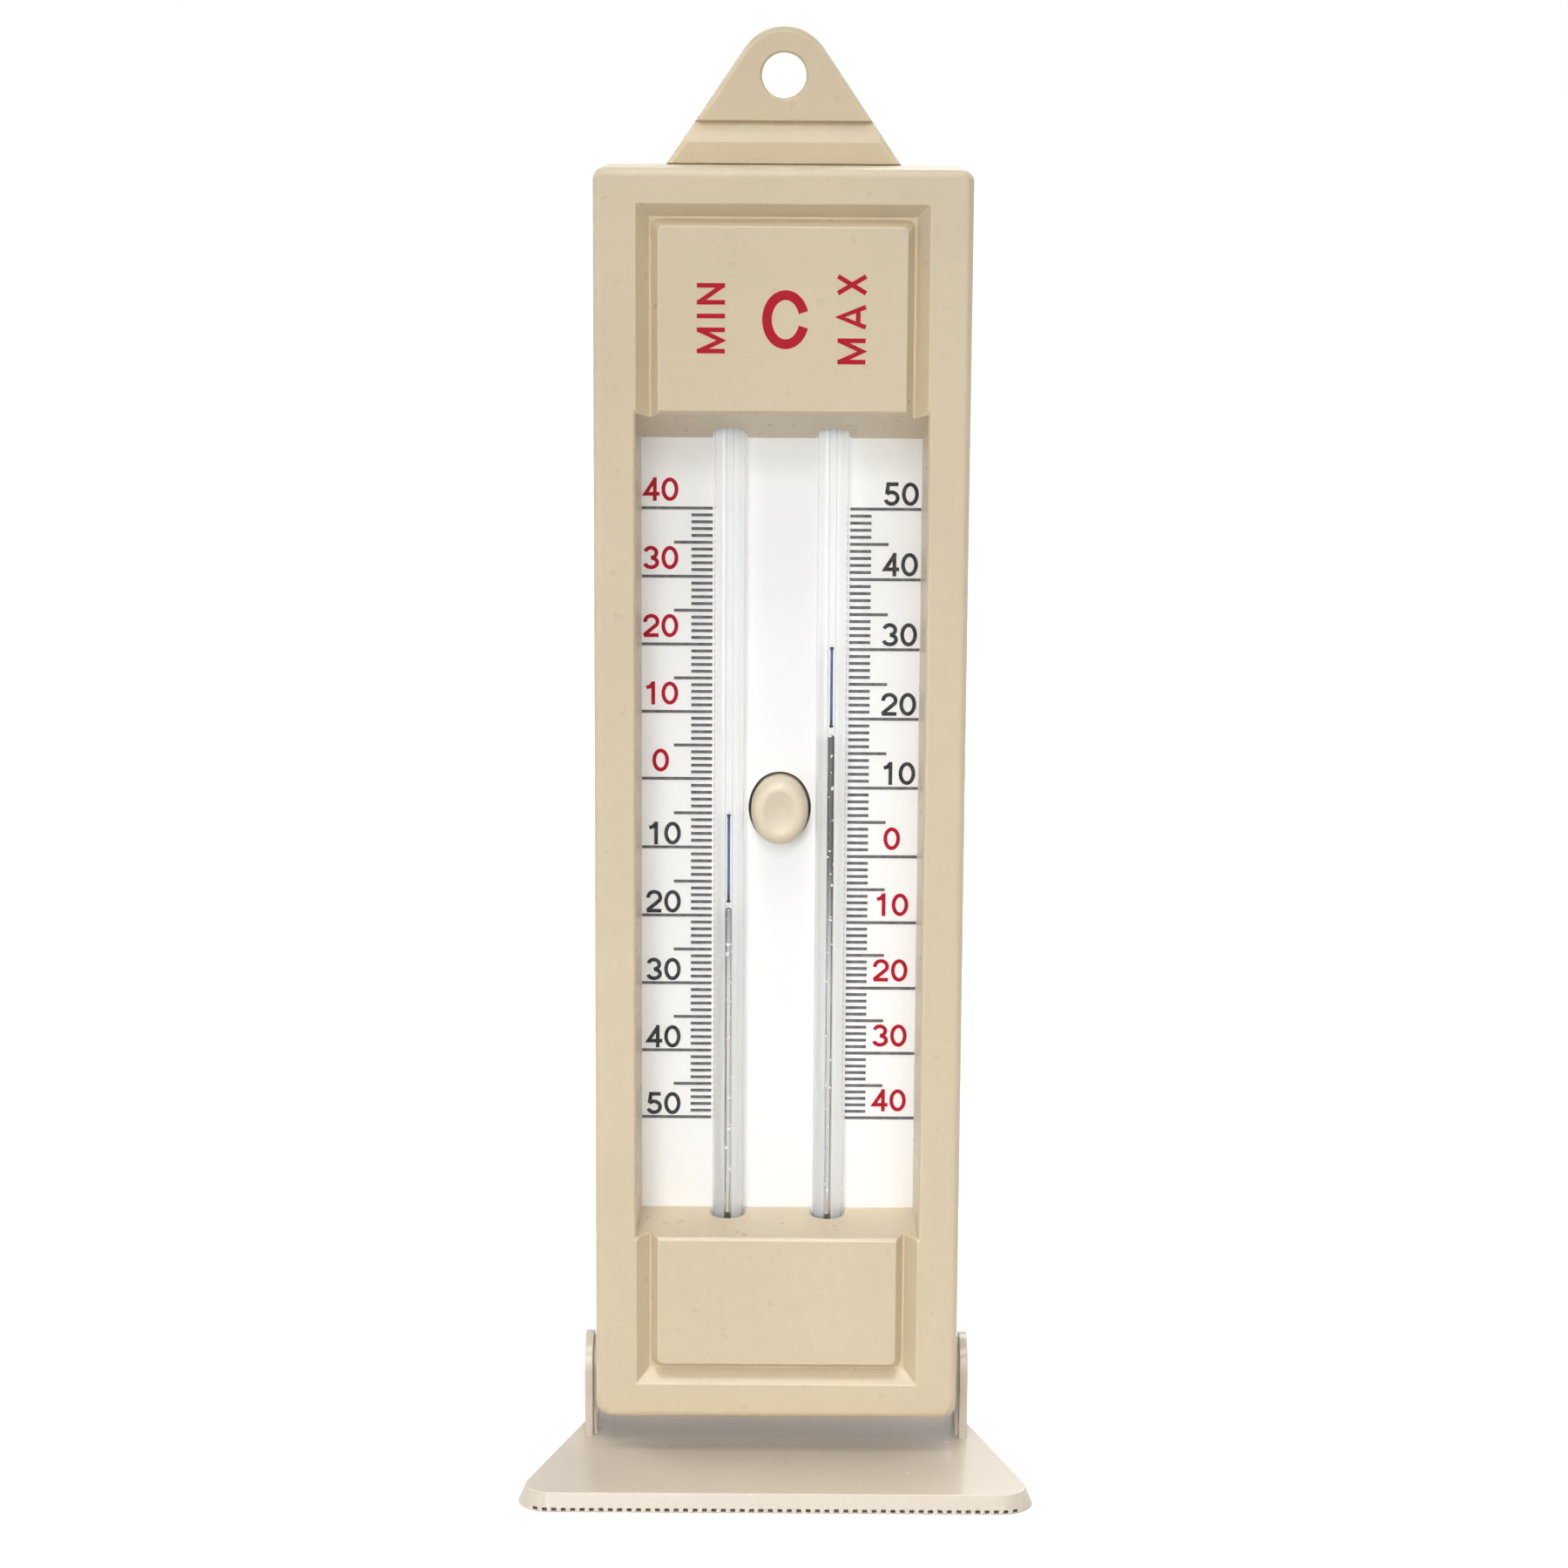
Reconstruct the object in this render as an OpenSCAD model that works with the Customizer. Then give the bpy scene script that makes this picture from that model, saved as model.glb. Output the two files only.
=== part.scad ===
// Maximum and minimum thermometer with a reset button and a foot that folds back.
// Millimetres, +Z up, the scale faces -Y.
// The origin lies on the floor, under the middle of the whole object.
// Pieces of the case are drawn with y = 0 at its front face and z = 0 at its lower end.

/* [Case] */
// Width of the case
case_w = 58; // [54:0.5:64]
// Height of the case
case_h = 199.2; // [196:0.1:208]
// Depth of the case with its rear cover
case_d = 24; // [23.8:0.1:26]
// Thickness of the moulded walls
wall = 2.2; // [1.8:0.1:2.4]
// Radius of the two upper corners, seen from the front
top_corner_r = 1.8; // [1.6:0.1:4]
// Radius of the two lower corners, seen from the front
low_corner_r = 3; // [2:0.1:4]
// Rounding of the front and rear edges
edge_r = 1.3; // [0.6:0.1:1.6]
// Radius of the lower rear edge, which lets the foot fold
heel_r = 4; // [4:0.1:6]

/* [Front panels] */
// Width of the frame bars at the sides
side_bar = 6.5; // [6:0.1:8]
// Width of the frame bar at the top
top_bar = 5.3; // [5:0.1:7]
// Width of the frame bar at the bottom
low_bar = 5.8; // [5:0.1:7]
// Width of one slope of the V groove
slope_w = 2.2; // [1.6:0.1:2.5]
// Depth of the V groove
groove_d = 2.4; // [1.6:0.1:2.6]
// Flat at the bottom of the V groove
groove_flat = 0.3; // [0.2:0.1:0.6]
// Radius of the corners of a flat field, at its face
field_face_r = 0.7; // [0.4:0.1:1.2]
// Radius of the corners of a flat field, at the bottom of the groove
field_foot_r = 1.4; // [0.8:0.1:2]

/* [Window] */
// Height of the lower front edge of the window
window_z = 30.3; // [28.5:0.1:31]
// Height of the upper panel, from the window to the top of the case
label_h = 37.1; // [36.8:0.1:40]
// Drop of the upper wall of the window towards the back
window_drop = 5.1; // [3:0.1:5.5]
// Rise of the lower wall of the window towards the back
window_rise = 1; // [0.4:0.1:1.4]
// Draft of each side wall of the window
window_draft = 0.4; // [0.2:0.1:0.8]
// Bevel round the front edge of the window
window_bevel = 0.4; // [0.3:0.1:1]
// Thickness of the walls of the window
tunnel_wall = 1.8; // [1.4:0.1:2]

/* [Scale plate] */
// Depth of the scale plate behind the front face
plate_y = 14; // [13.8:0.1:14.4]
// Thickness of the scale plate
plate_t = 1.2; // [1:0.1:1.4]
// Gap between the scale plate and the case wall
plate_gap = 0.6; // [0.4:0.1:1]
// Height of the lower end of the scale plate
plate_low = 5.5; // [4.5:0.1:6]
// Gap between the top of the scale plate and the case wall
plate_top_gap = 3.3; // [2.5:0.1:4]

/* [Scales] */
// Distance from the lower wall of the window to the lowest lines
scale_low_gap = 15.15; // [12:0.05:16]
// Distance from the upper wall of the window to the highest lines
scale_high_gap = 11.15; // [9:0.05:13]
// Height of a degree below zero, as a part of one above zero
cold_part = 0.969; // [0.95:0.001:1]
// Highest temperature on the scales
warmest = 50; // [40:10:50]
// Lowest temperature on the scales, below zero
coldest = 40; // [30:10:40]
// Gap between the glass and the inner ends of the lines
line_gap = 0.35; // [0.2:0.05:0.7]
// Length of the line at each degree
line_short = 3.35; // [2.5:0.05:4]
// Length of the line at each fifth degree
line_middle = 6.1; // [5:0.05:7]
// Gap between the longest lines and the side walls of the window
line_end_gap = 0.05; // [0.05:0.05:1]
// Width of a printed line
line_w = 0.46; // [0.3:0.02:0.56]
// Thickness of the print
print_t = 0.08; // [0.06:0.01:0.1]

/* [Glass tube] */
// Distance between the two limbs
limb_gap = 16.2; // [15.9:0.1:16.4]
// Outer radius of the glass
tube_r = 2.4; // [2.2:0.05:2.5]
// Radius of the fine bore
bore_r = 0.4; // [0.36:0.01:0.6]
// Gap between the glass and the scale plate
tube_gap = 0.1; // [0.05:0.05:0.3]
// Gap between the U bend and the floor of the case
bend_gap = 4.8; // [2:0.1:5.2]
// Radius of the main bulb, on the left
main_bulb_r = 4.6; // [4:0.1:4.8]
// Length of the main bulb
main_bulb_l = 24; // [20:0.5:26]
// Radius of the expansion bulb, on the right
small_bulb_r = 3.2; // [3:0.1:3.6]
// Length of the expansion bulb
small_bulb_l = 17; // [14:0.5:19]
// Glass thickness of the bulbs
bulb_wall = 0.7; // [0.5:0.05:0.9]
// Distance from the top of the window wall to the bulbs
bulb_rise = 7.4; // [7.2:0.1:8]
// Length of the sealed tips
tip_l = 2; // [1:0.1:2.4]
// Radius of the sealed tips
tip_r = 1; // [0.7:0.1:1.2]
// Gap between a liquid and the glass
liquid_gap = 0.02; // [0.01:0.01:0.03]

/* [Indices] */
// Temperature that the mercury shows
reading = 18.2; // [10:0.1:22]
// Degrees below the reading that the left index keeps as the lowest
lowest_under = 0.7; // [0.3:0.1:2]
// Degrees above the reading that the right index keeps as the highest
highest_over = 1; // [0.3:0.1:2]
// Length of the left index
min_index_l = 14.5; // [13:0.1:16]
// Length of the right index
max_index_l = 13; // [12:0.1:14]
// Radius of the wire of an index
index_r = 0.15; // [0.1:0.01:0.2]
// Radius of the beads of an index
bead_r = 0.26; // [0.22:0.01:0.3]

/* [Button] */
// Height of the button above the middle of the scales
button_rise = 1.65; // [0:0.05:4]
// Half of the width of the oval button
button_r = 4.55; // [4.2:0.05:4.8]
// Extra height of the oval button, above and below
button_tall = 0.85; // [0.3:0.05:1.2]
// Gap between the button and the hole in the scale plate
button_gap = 0.45; // [0.4:0.05:0.8]
// Height of the button's face in front of the scale plate
button_proud = 4.5; // [4:0.1:6]
// Rounding of the button's rim
button_rim = 1.8; // [1.2:0.1:2]
// Thickness of the button's wall
button_wall = 1.1; // [0.9:0.1:1.3]
// Depth of the dish in the button's face
dish_d = 0.6; // [0.4:0.05:0.9]
// Thickness of the button's face under the dish
button_face = 1; // [0.8:0.1:1.4]
// Radius of the screw post in the button
post_r = 1.9; // [1.7:0.1:2.1]
// Radius of the spigot that enters the carrier
spigot_r = 1.5; // [1.4:0.05:1.6]
// Travel of the button
travel = 2.4; // [2:0.1:2.5]

/* [Magnet carrier] */
// Width of the carrier beside a magnet strip
carrier_edge = 1.3; // [1:0.1:2]
// Distance that the carrier reaches past each end of the scales
carrier_over = 2.3; // [0:0.1:4]
// Thickness of the carrier
carrier_t = 2.5; // [2.4:0.1:2.7]
// Gap between the scale plate and the carrier
carrier_gap = 0.3; // [0.2:0.05:0.5]
// Gap between the stop pads and the scale plate
stop_gap = 0.1; // [0.05:0.05:0.15]
// Width of a magnet strip
magnet_w = 4; // [3:0.1:4.6]
// Thickness of a magnet strip
magnet_t = 1.5; // [1.2:0.1:1.6]
// Distance from the end of a magnet strip to the end of the carrier
magnet_short = 4; // [2:0.5:8]
// Radius of the two guide posts
guide_r = 1.6; // [1.4:0.05:1.8]
// Distance from a guide post to the end of the carrier
guide_end = 16; // [10:0.5:20]
// Thickness of the carrier behind the button
hub_floor = 1.3; // [1.1:0.1:1.4]

/* [Spring] */
// Mean radius of the return spring
spring_r = 2.9; // [2.8:0.05:3]
// Radius of the spring wire
spring_wire_r = 0.2; // [0.15:0.01:0.25]
// Turns of the return spring
spring_turns = 4.5; // [4:0.5:5]

/* [Clamps] */
// Height of a tube clamp
clamp_h = 4.4; // [4:0.1:4.6]
// Thickness of a clamp in front of the glass
clamp_t = 1.5; // [1:0.1:2]
// Distance from a clamp screw to the end of the clamp
clamp_end = 2.8; // [2.4:0.1:4]
// Gap between the window wall and a clamp
clamp_rise = 0.9; // [0.5:0.1:1.2]

/* [Rear cover] */
// Thickness of the rear cover
cover_t = 2.2; // [2:0.1:2.4]
// Depth of the locating lip inside the case
lip_d = 2; // [1:0.1:3]
// Thickness of the locating lip
lip_t = 1.4; // [1:0.1:1.8]
// Width of a vent slot
vent_w = 1.6; // [1:0.1:1.8]
// Length of a vent slot
vent_l = 15; // [10:0.5:17]
// Number of vent slots
vent_n = 6; // [4:2:8]

/* [Hanging lug] */
// Height of the hole above the case
lug_rise = 13.8; // [12.5:0.1:16]
// Radius of the hole
lug_hole_r = 3.5; // [3:0.1:4]
// Outer radius of the lug
lug_r = 7.5; // [6.8:0.1:8.5]
// Angle of the lug's sides from the vertical
lug_angle = 34.3; // [28:0.1:36]
// Thickness of the lug
lug_t = 3.8; // [3.4:0.1:4.4]
// Bevel along the edges of the lug
lug_bevel = 0.7; // [0.4:0.1:0.9]
// Bevel at both ends of the hole
hole_bevel = 0.35; // [0.1:0.05:0.5]
// Height above the case where the sloped step begins
step_low = 3.5; // [2.5:0.1:3.8]
// Height above the case of the ledge above the slope
step_high = 6.8; // [5.8:0.1:7]
// Depth of the ledge
step_d = 1.2; // [0.8:0.1:1.5]

/* [Foot] */
// Width of the foot at its widest
foot_w = 81.4; // [76:0.1:86]
// Thickness of the foot plate
foot_t = 2.8; // [2.6:0.1:4]
// Distance that the foot reaches ahead of the case
foot_reach = 18; // [15:0.5:24]
// Distance from the back of the foot to the back of the case
foot_short = 3; // [2:0.1:3.2]
// Radius of the front corners of the foot, at its underside
foot_corner_r = 5.3; // [4:0.1:6]
// Draft of the front and side walls of the foot, from its underside to its top
foot_draft = 1.2; // [0.4:0.1:1.6]
// Gap between the foot plate and the case
foot_gap = 6.15; // [6.1:0.05:8]
// Gap between an ear and the side of the case
ear_gap = 0.95; // [0.6:0.05:1.4]
// Thickness of an ear
ear_t = 1.3; // [1.2:0.1:2.2]
// Radius of the rounded top of an ear
ear_r = 5.8; // [5.4:0.1:6.6]
// Gap between the pad inside an ear and the side of the case
pad_gap = 0.3; // [0.2:0.05:0.4]
// Distance from the front of the case to the pivot
pivot_y = 14.2; // [14.2:0.1:14.6]
// Height of the pivot above the lower end of the case
pivot_z = 3.95; // [3.95:0.05:4.4]
// Radius of a pivot pin
pivot_r = 2; // [1.6:0.1:2.2]
// Running clearance of the pivot pins and guide posts
running_gap = 0.05; // [0.02:0.01:0.1]
// Distance between the slots along the lower front edge of the foot
slot_pitch = 1.48; // [1.2:0.02:2.4]
// Width of a slot
slot_w = 0.75; // [0.5:0.05:1]
// Height of a slot
slot_t = 0.45; // [0.3:0.05:0.8]
// Height of a slot above the underside
slot_rise = 0.15; // [0.1:0.05:0.6]
// Depth of a slot
slot_l = 3; // [2:0.5:5]

/* [Screws] */
// Radius of a cover screw
cover_screw_r = 1.4; // [1.2:0.1:1.6]
// Radius of a plate, clamp or button screw
small_screw_r = 1; // [0.8:0.1:1.1]
// Gap between a screw and the wall of its hole
screw_gap = 0.02; // [0.01:0.01:0.03]
// Length of a cover screw
cover_screw_l = 9.2; // [7:0.1:11]
// Length of a plate screw under its head
plate_screw_l = 6.2; // [5:0.1:7]
// Length of the button screw under its head
button_screw_l = 4.6; // [4:0.1:5]
// Distance from the window to the plate screws
plate_screw_off = 10.5; // [9:0.1:11]
// Distance from the side of the room inside the case to the plate screws
plate_screw_in = 7.3; // [6:0.1:8]
// Distance from the room's side to the posts of the cover screws
boss_in = 1.6; // [0:0.1:2]
// Distance from the room's end to the posts of the cover screws
boss_rise = 3.1; // [2:0.1:4]

/* [Hidden] */
$fn = 64;

// Where the case stands over the origin.
case_y = foot_reach - (foot_reach + case_d) / 2;
case_z = foot_t + foot_gap;

// Case and window.
cover_y = case_d - cover_t;
panel_back = groove_d + wall;
inner_x = case_w / 2 - wall;
frame_x = case_w / 2 - side_bar;
window_top = case_h - label_h;
back_window_x = frame_x - window_draft;
back_window_low = window_z + window_rise;
back_window_top = window_top - window_drop;
boss_r = 3.2;
boss_x = inner_x - boss_r - boss_in;
boss_low = wall + boss_r + boss_rise;
boss_high = case_h - wall - boss_r - boss_rise;
pivot_pad_t = 1.3;
pivot_pad_r = 4.2;
fit_gap = 0.15;
overlap = 1;

// Scale plate and its screws.
plate_back = plate_y + plate_t;
plate_x = inner_x - plate_gap;
plate_top = case_h - wall - plate_top_gap;
corner_gap = 0.4;
plate_post_r = 2.75;
plate_screw_x = inner_x - plate_screw_in;
plate_screw_low = back_window_low - plate_screw_off;
plate_screw_high = window_top + plate_screw_off;
plate_head_r = 2.2;
plate_head_t = 1.2;
pilot_extra = 1;

// Glass tube.
limb_x = limb_gap / 2;
tube_y = plate_y - tube_gap - tube_r;
bend_z = wall + bend_gap + tube_r + limb_x;
bulb_z = window_top + tunnel_wall - (window_drop * tube_y / plate_y) + bulb_rise;
main_bulb_top = bulb_z + main_bulb_l;
small_bulb_top = bulb_z + small_bulb_l;
neck_bury = 0.4;
limb_top = bulb_z + neck_bury;
bulb_room = 0.6;
foam_l = 8;
foam_gap = 0.1;
notch_gap = 0.4;

// Scales, mercury and indices.
scale_low = back_window_low + scale_low_gap;
scale_high = back_window_top - scale_high_gap;
warm_step = (scale_high - scale_low) / (warmest + coldest * cold_part);
cold_step = cold_part * warm_step;
left_zero = scale_low + warmest * warm_step;
right_zero = scale_low + coldest * cold_step;
line_inner = limb_x + tube_r + line_gap;
line_long = back_window_x - line_end_gap - line_inner;
function left_z(t) = left_zero - (t < 0 ? cold_step : warm_step) * t;
function right_z(t) = right_zero + (t < 0 ? cold_step : warm_step) * t;
left_mercury = left_z(reading);
right_mercury = right_z(reading);
mercury_r = bore_r - liquid_gap;

// Button and carrier.
carrier_y = plate_back + carrier_gap;
carrier_back = carrier_y + carrier_t;
hub_y = carrier_y + hub_floor;
hub_r = spring_r + 0.6;
magnet_gap = 0.1;
button_front = plate_y - button_proud;
button_z = (scale_low + scale_high) / 2 + button_rise;
carrier_w = 2 * (limb_x + magnet_w / 2 + magnet_gap + carrier_edge);
carrier_h = scale_high - scale_low + 2 * carrier_over;
magnet_l = carrier_h - 2 * magnet_short;
guide_span = carrier_h - 2 * guide_end;
guide_inset = 0.4;
stop_x = 2.6;
stop_r = 1;
stop_inset = 3;
slot_from = hub_r + 7.5;
slot_to = guide_span / 2 - guide_r - 5.4;
side_shift = 2 * button_tall;
end_shift = 1.5 * button_tall;
side_arc_r = button_r + side_shift;
end_arc_r = button_r + button_tall - end_shift;
dish_x = button_r - button_rim - 0.15;
dish_z = dish_x + button_tall;
button_screw_head_r = 2.1;
button_screw_head_t = 0.9;

// Spring between the carrier's hub and the cover.
spring_start = hub_y + spring_wire_r + 0.05;
spring_end = cover_y - spring_wire_r - 0.05;
seat_t = 0.9;
seat_inner_r = spring_r + spring_wire_r + 0.3;
seat_outer_r = seat_inner_r + 1;
spring_rings = 8;
spring_sides = 6;

// Clamps.
upper_clamp_z = window_top + tunnel_wall - window_drop * (tube_y - tube_r - clamp_t) / plate_y + clamp_rise;
lower_clamp_z = back_window_low - window_rise - tunnel_wall - clamp_rise - clamp_h;
clamp_y = tube_y - tube_r - clamp_t;
clamp_gap = 0.1;
clamp_foot_t = 2;
clamp_head_r = 1.55;
clamp_head_t = 1;
clamp_screw_x = limb_x + tube_r + clamp_t + clamp_head_r + fit_gap;
clamp_l = 2 * (clamp_screw_x + clamp_end);
plate_boss_l = 3;
plate_boss_r = 2.1;
loose_gap = 0.2;

// Lug.
lug_z = case_h + lug_rise;
lug_y = case_d - lug_t;

// Foot.
foot_front = -foot_reach;
foot_back = case_d - foot_short;
ear_x = case_w / 2 + ear_gap + ear_t;
ear_pad_r = ear_r - 0.8;
pin_end = inner_x + 0.3;
taper_end = pivot_y + 2.1;

// Places children in the frame of the case.
module in_case() {
    translate([0, case_y, case_z]) children();
}

// Thick slice of a front-view outline, from depth y0 to depth y1.
module slice(y0, y1) {
    translate([0, y1, 0]) rotate([90, 0, 0]) linear_extrude(y1 - y0) children();
}

// Bar along X with a side-view outline, half_l to each side of the middle.
module bar(half_l) {
    rotate([90, 0, 90]) translate([0, 0, -half_l]) linear_extrude(2 * half_l) children();
}

// Round hole, post or pin along Y at (x, z), from depth y0 to depth y1.
module round_y(x, z, r, y0, y1) {
    translate([x, y0, z]) rotate([-90, 0, 0]) cylinder(h = y1 - y0, r = r);
}

// Front-view rectangle with rounded corners.
module plaque(x, z0, z1, r) {
    translate([-x + r, z0]) square([2 * (x - r), z1 - z0]);
    translate([-x, z0 + r]) square([2 * x, z1 - z0 - 2 * r]);
    for (sx = [-1, 1])
        for (z = [z0 + r, z1 - r])
            translate([sx * (x - r), z]) circle(r);
}

// One corner of the outer form: a post along Y with rounded ends.
module corner_post(r) {
    rotate([-90, 0, 0]) rotate_extrude($fn = 32) {
        translate([0, edge_r]) square([r, case_d - 2 * edge_r]);
        square([r - edge_r, case_d]);
        for (y = [edge_r, case_d - edge_r])
            translate([r - edge_r, y]) intersection() {
                circle(edge_r, $fn = 32);
                translate([0, -edge_r]) square(2 * edge_r);
            }
    }
}

// Whole outer form of the closed case, with the rounded heel.
module outer_form() {
    top_r = max(top_corner_r, edge_r + 0.3);
    low_r = max(low_corner_r, edge_r + 0.3);
    intersection() {
        hull() {
            for (sx = [-1, 1]) {
                translate([sx * (case_w / 2 - low_r), 0, low_r]) corner_post(low_r);
                translate([sx * (case_w / 2 - top_r), 0, case_h - top_r]) corner_post(top_r);
            }
        }
        bar(case_w) {
            translate([-overlap, heel_r]) square([case_d + 2 * overlap, case_h]);
            translate([-overlap, -overlap]) square([case_d - heel_r + overlap, case_h]);
            translate([case_d - heel_r, heel_r]) circle(heel_r, $fn = 96);
        }
    }
}

// Opening that tapers from the front face to the scale plate, grown by g on every side.
module window_form(g) {
    intersection() {
        linear_extrude(case_h)
            polygon([
                [-frame_x - g, -overlap], [frame_x + g, -overlap], [frame_x + g, 0],
                [back_window_x + g, plate_y], [back_window_x + g, plate_y + overlap],
                [-back_window_x - g, plate_y + overlap], [-back_window_x - g, plate_y],
                [-frame_x - g, 0]
            ]);
        bar(case_w)
            polygon([
                [-overlap, window_z - g], [0, window_z - g], [plate_y, back_window_low - g],
                [plate_y + overlap, back_window_low - g], [plate_y + overlap, back_window_top + g],
                [plate_y, back_window_top + g], [0, window_top + g], [-overlap, window_top + g]
            ]);
    }
}

// Bevel that breaks the front edge of the window.
module window_bevel_cut() {
    b = window_bevel;
    intersection() {
        linear_extrude(case_h)
            polygon([
                [-frame_x - b, -overlap], [frame_x + b, -overlap], [frame_x + b, 0],
                [frame_x - b, 2 * b], [-frame_x + b, 2 * b], [-frame_x - b, 0]
            ]);
        bar(case_w)
            polygon([
                [-overlap, window_z - b], [0, window_z - b], [2 * b, window_z + b],
                [2 * b, window_top - b], [0, window_top + b], [-overlap, window_top + b]
            ]);
    }
}

// V groove between the frame and the flat field that it surrounds, from height z0 to z1.
module v_groove(z0, z1) {
    s = slope_w - groove_flat / 2;
    difference() {
        intersection() {
            linear_extrude(case_h)
                polygon([
                    [-frame_x, -overlap], [frame_x, -overlap], [frame_x, 0],
                    [frame_x - s, groove_d], [-frame_x + s, groove_d], [-frame_x, 0]
                ]);
            bar(case_w)
                polygon([
                    [-overlap, z0], [0, z0], [groove_d, z0 + s],
                    [groove_d, z1 - s], [0, z1], [-overlap, z1]
                ]);
        }
        flat_field(frame_x - s - groove_flat, z0 + s + groove_flat, z1 - s - groove_flat, s);
    }
}

// Flat field that slopes down by s on every side to the half width x and the heights z0 and z1.
module flat_field(x, z0, z1, s) {
    hull() {
        slice(-2 * overlap, 0) plaque(x - s, z0 + s, z1 - s, field_face_r, $fn = 24);
        slice(groove_d, groove_d + overlap) plaque(x, z0, z1, field_foot_r, $fn = 24);
    }
}

// Hollow behind a flat field, which keeps the moulding at one thickness.
module field_pocket(z0, z1) {
    x = frame_x - 2 * slope_w - wall / 2;
    slice(wall, panel_back + overlap) plaque(x, z0, z1, 1);
}

// Room inside the case, from behind the panels to the rear cover.
module inside_room() {
    slice(panel_back, case_d + overlap) plaque(inner_x, wall, case_h - wall, 0.8);
}

// Passages for the two limbs through the upper and lower walls of the window.
module limb_notches() {
    r = tube_r + notch_gap;
    for (sx = [-1, 1])
        for (z = [[back_window_low - 5, back_window_low + 1], [back_window_top - 1, window_top + 5]])
            translate([sx * limb_x, 0, z[0]]) {
                translate([0, tube_y, 0]) cylinder(h = z[1] - z[0], r = r);
                translate([-r, tube_y, 0]) cube([2 * r, plate_y + overlap - tube_y, z[1] - z[0]]);
            }
}

// Places children at the four screws of the rear cover.
module at_cover_screws() {
    for (sx = [-1, 1])
        for (z = [boss_low, boss_high])
            translate([sx * boss_x, 0, z]) children();
}

// Places children at the four screws of the scale plate.
module at_plate_screws() {
    for (sx = [-1, 1])
        for (z = [plate_screw_low, plate_screw_high])
            translate([sx * plate_screw_x, 0, z]) children();
}

// Places children at the four screws of the tube clamps.
module at_clamp_screws() {
    for (sx = [-1, 1])
        for (z = [lower_clamp_z, upper_clamp_z])
            translate([sx * clamp_screw_x, 0, z + clamp_h / 2]) children();
}

// Front shell of the case with its frame, panels, deep window and bosses.
module front_case() {
    pilot = cover_screw_r + screw_gap;
    small_pilot = small_screw_r + screw_gap;
    color([0.85, 0.79, 0.67]) in_case() difference() {
        union() {
            difference() {
                intersection() {
                    outer_form();
                    translate([-case_w, -overlap, -overlap])
                        cube([2 * case_w, cover_y + overlap, case_h + 2 * overlap]);
                }
                difference() {
                    inside_room();
                    intersection() {
                        window_form(tunnel_wall);
                        translate([-case_w, -overlap, 0]) cube([2 * case_w, plate_y + overlap, case_h]);
                    }
                    for (sx = [-1, 1])
                        translate([sx * inner_x, pivot_y, pivot_z]) rotate([0, -90 * sx, 0])
                            cylinder(h = pivot_pad_t, r = pivot_pad_r);
                }
                field_pocket(window_top + tunnel_wall + 2.5, case_h - top_bar - 2 * slope_w - wall / 2);
                field_pocket(low_bar + 2 * slope_w + wall / 2, window_z - tunnel_wall - 0.5);
            }
            at_cover_screws() round_y(0, 0, boss_r, panel_back - overlap, cover_y);
            at_plate_screws() round_y(0, 0, plate_post_r, panel_back - overlap, plate_y);
        }
        window_form(0);
        window_bevel_cut();
        v_groove(window_top - 2 * slope_w - 2, case_h - top_bar);
        v_groove(low_bar, window_z + 2 * slope_w + 2);
        limb_notches();
        at_cover_screws() round_y(0, 0, pilot, case_d - cover_screw_l - pilot_extra, cover_y + overlap);
        at_plate_screws()
            round_y(0, 0, small_pilot, plate_back - plate_screw_l - pilot_extra, plate_y + overlap);
        for (sx = [-1, 1])
            translate([sx * (inner_x - pivot_pad_t - 0.1), pivot_y, pivot_z]) rotate([0, 90 * sx, 0])
                cylinder(h = case_w, r = pivot_r + running_gap);
    }
}

// Front-view outline of the lug, inset by g, down to height z0.
module lug_outline(g, z0) {
    r = lug_r - g;
    tx = r * cos(lug_angle);
    tz = lug_z + r * sin(lug_angle);
    base_x = tx + (tz - z0) * tan(lug_angle);
    translate([0, lug_z]) circle(r);
    polygon([[-tx, tz], [tx, tz], [base_x, z0], [-base_x, z0]]);
}

// Hanging lug with bevelled edges and the sloped step across its root.
module lug() {
    root_z = case_h - edge_r;
    difference() {
        hull() {
            slice(lug_y + lug_bevel, case_d) lug_outline(0, root_z);
            slice(lug_y, case_d) lug_outline(lug_bevel, root_z);
        }
        translate([-case_w, 0, 0]) cube([2 * case_w, cover_y, case_h + fit_gap]);
        bar(case_w)
            polygon([
                [lug_y - overlap, case_h + step_high], [lug_y + step_d, case_h + step_high],
                [lug_y, case_h + step_low], [lug_y - overlap, case_h + step_low]
            ]);
    }
}

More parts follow.
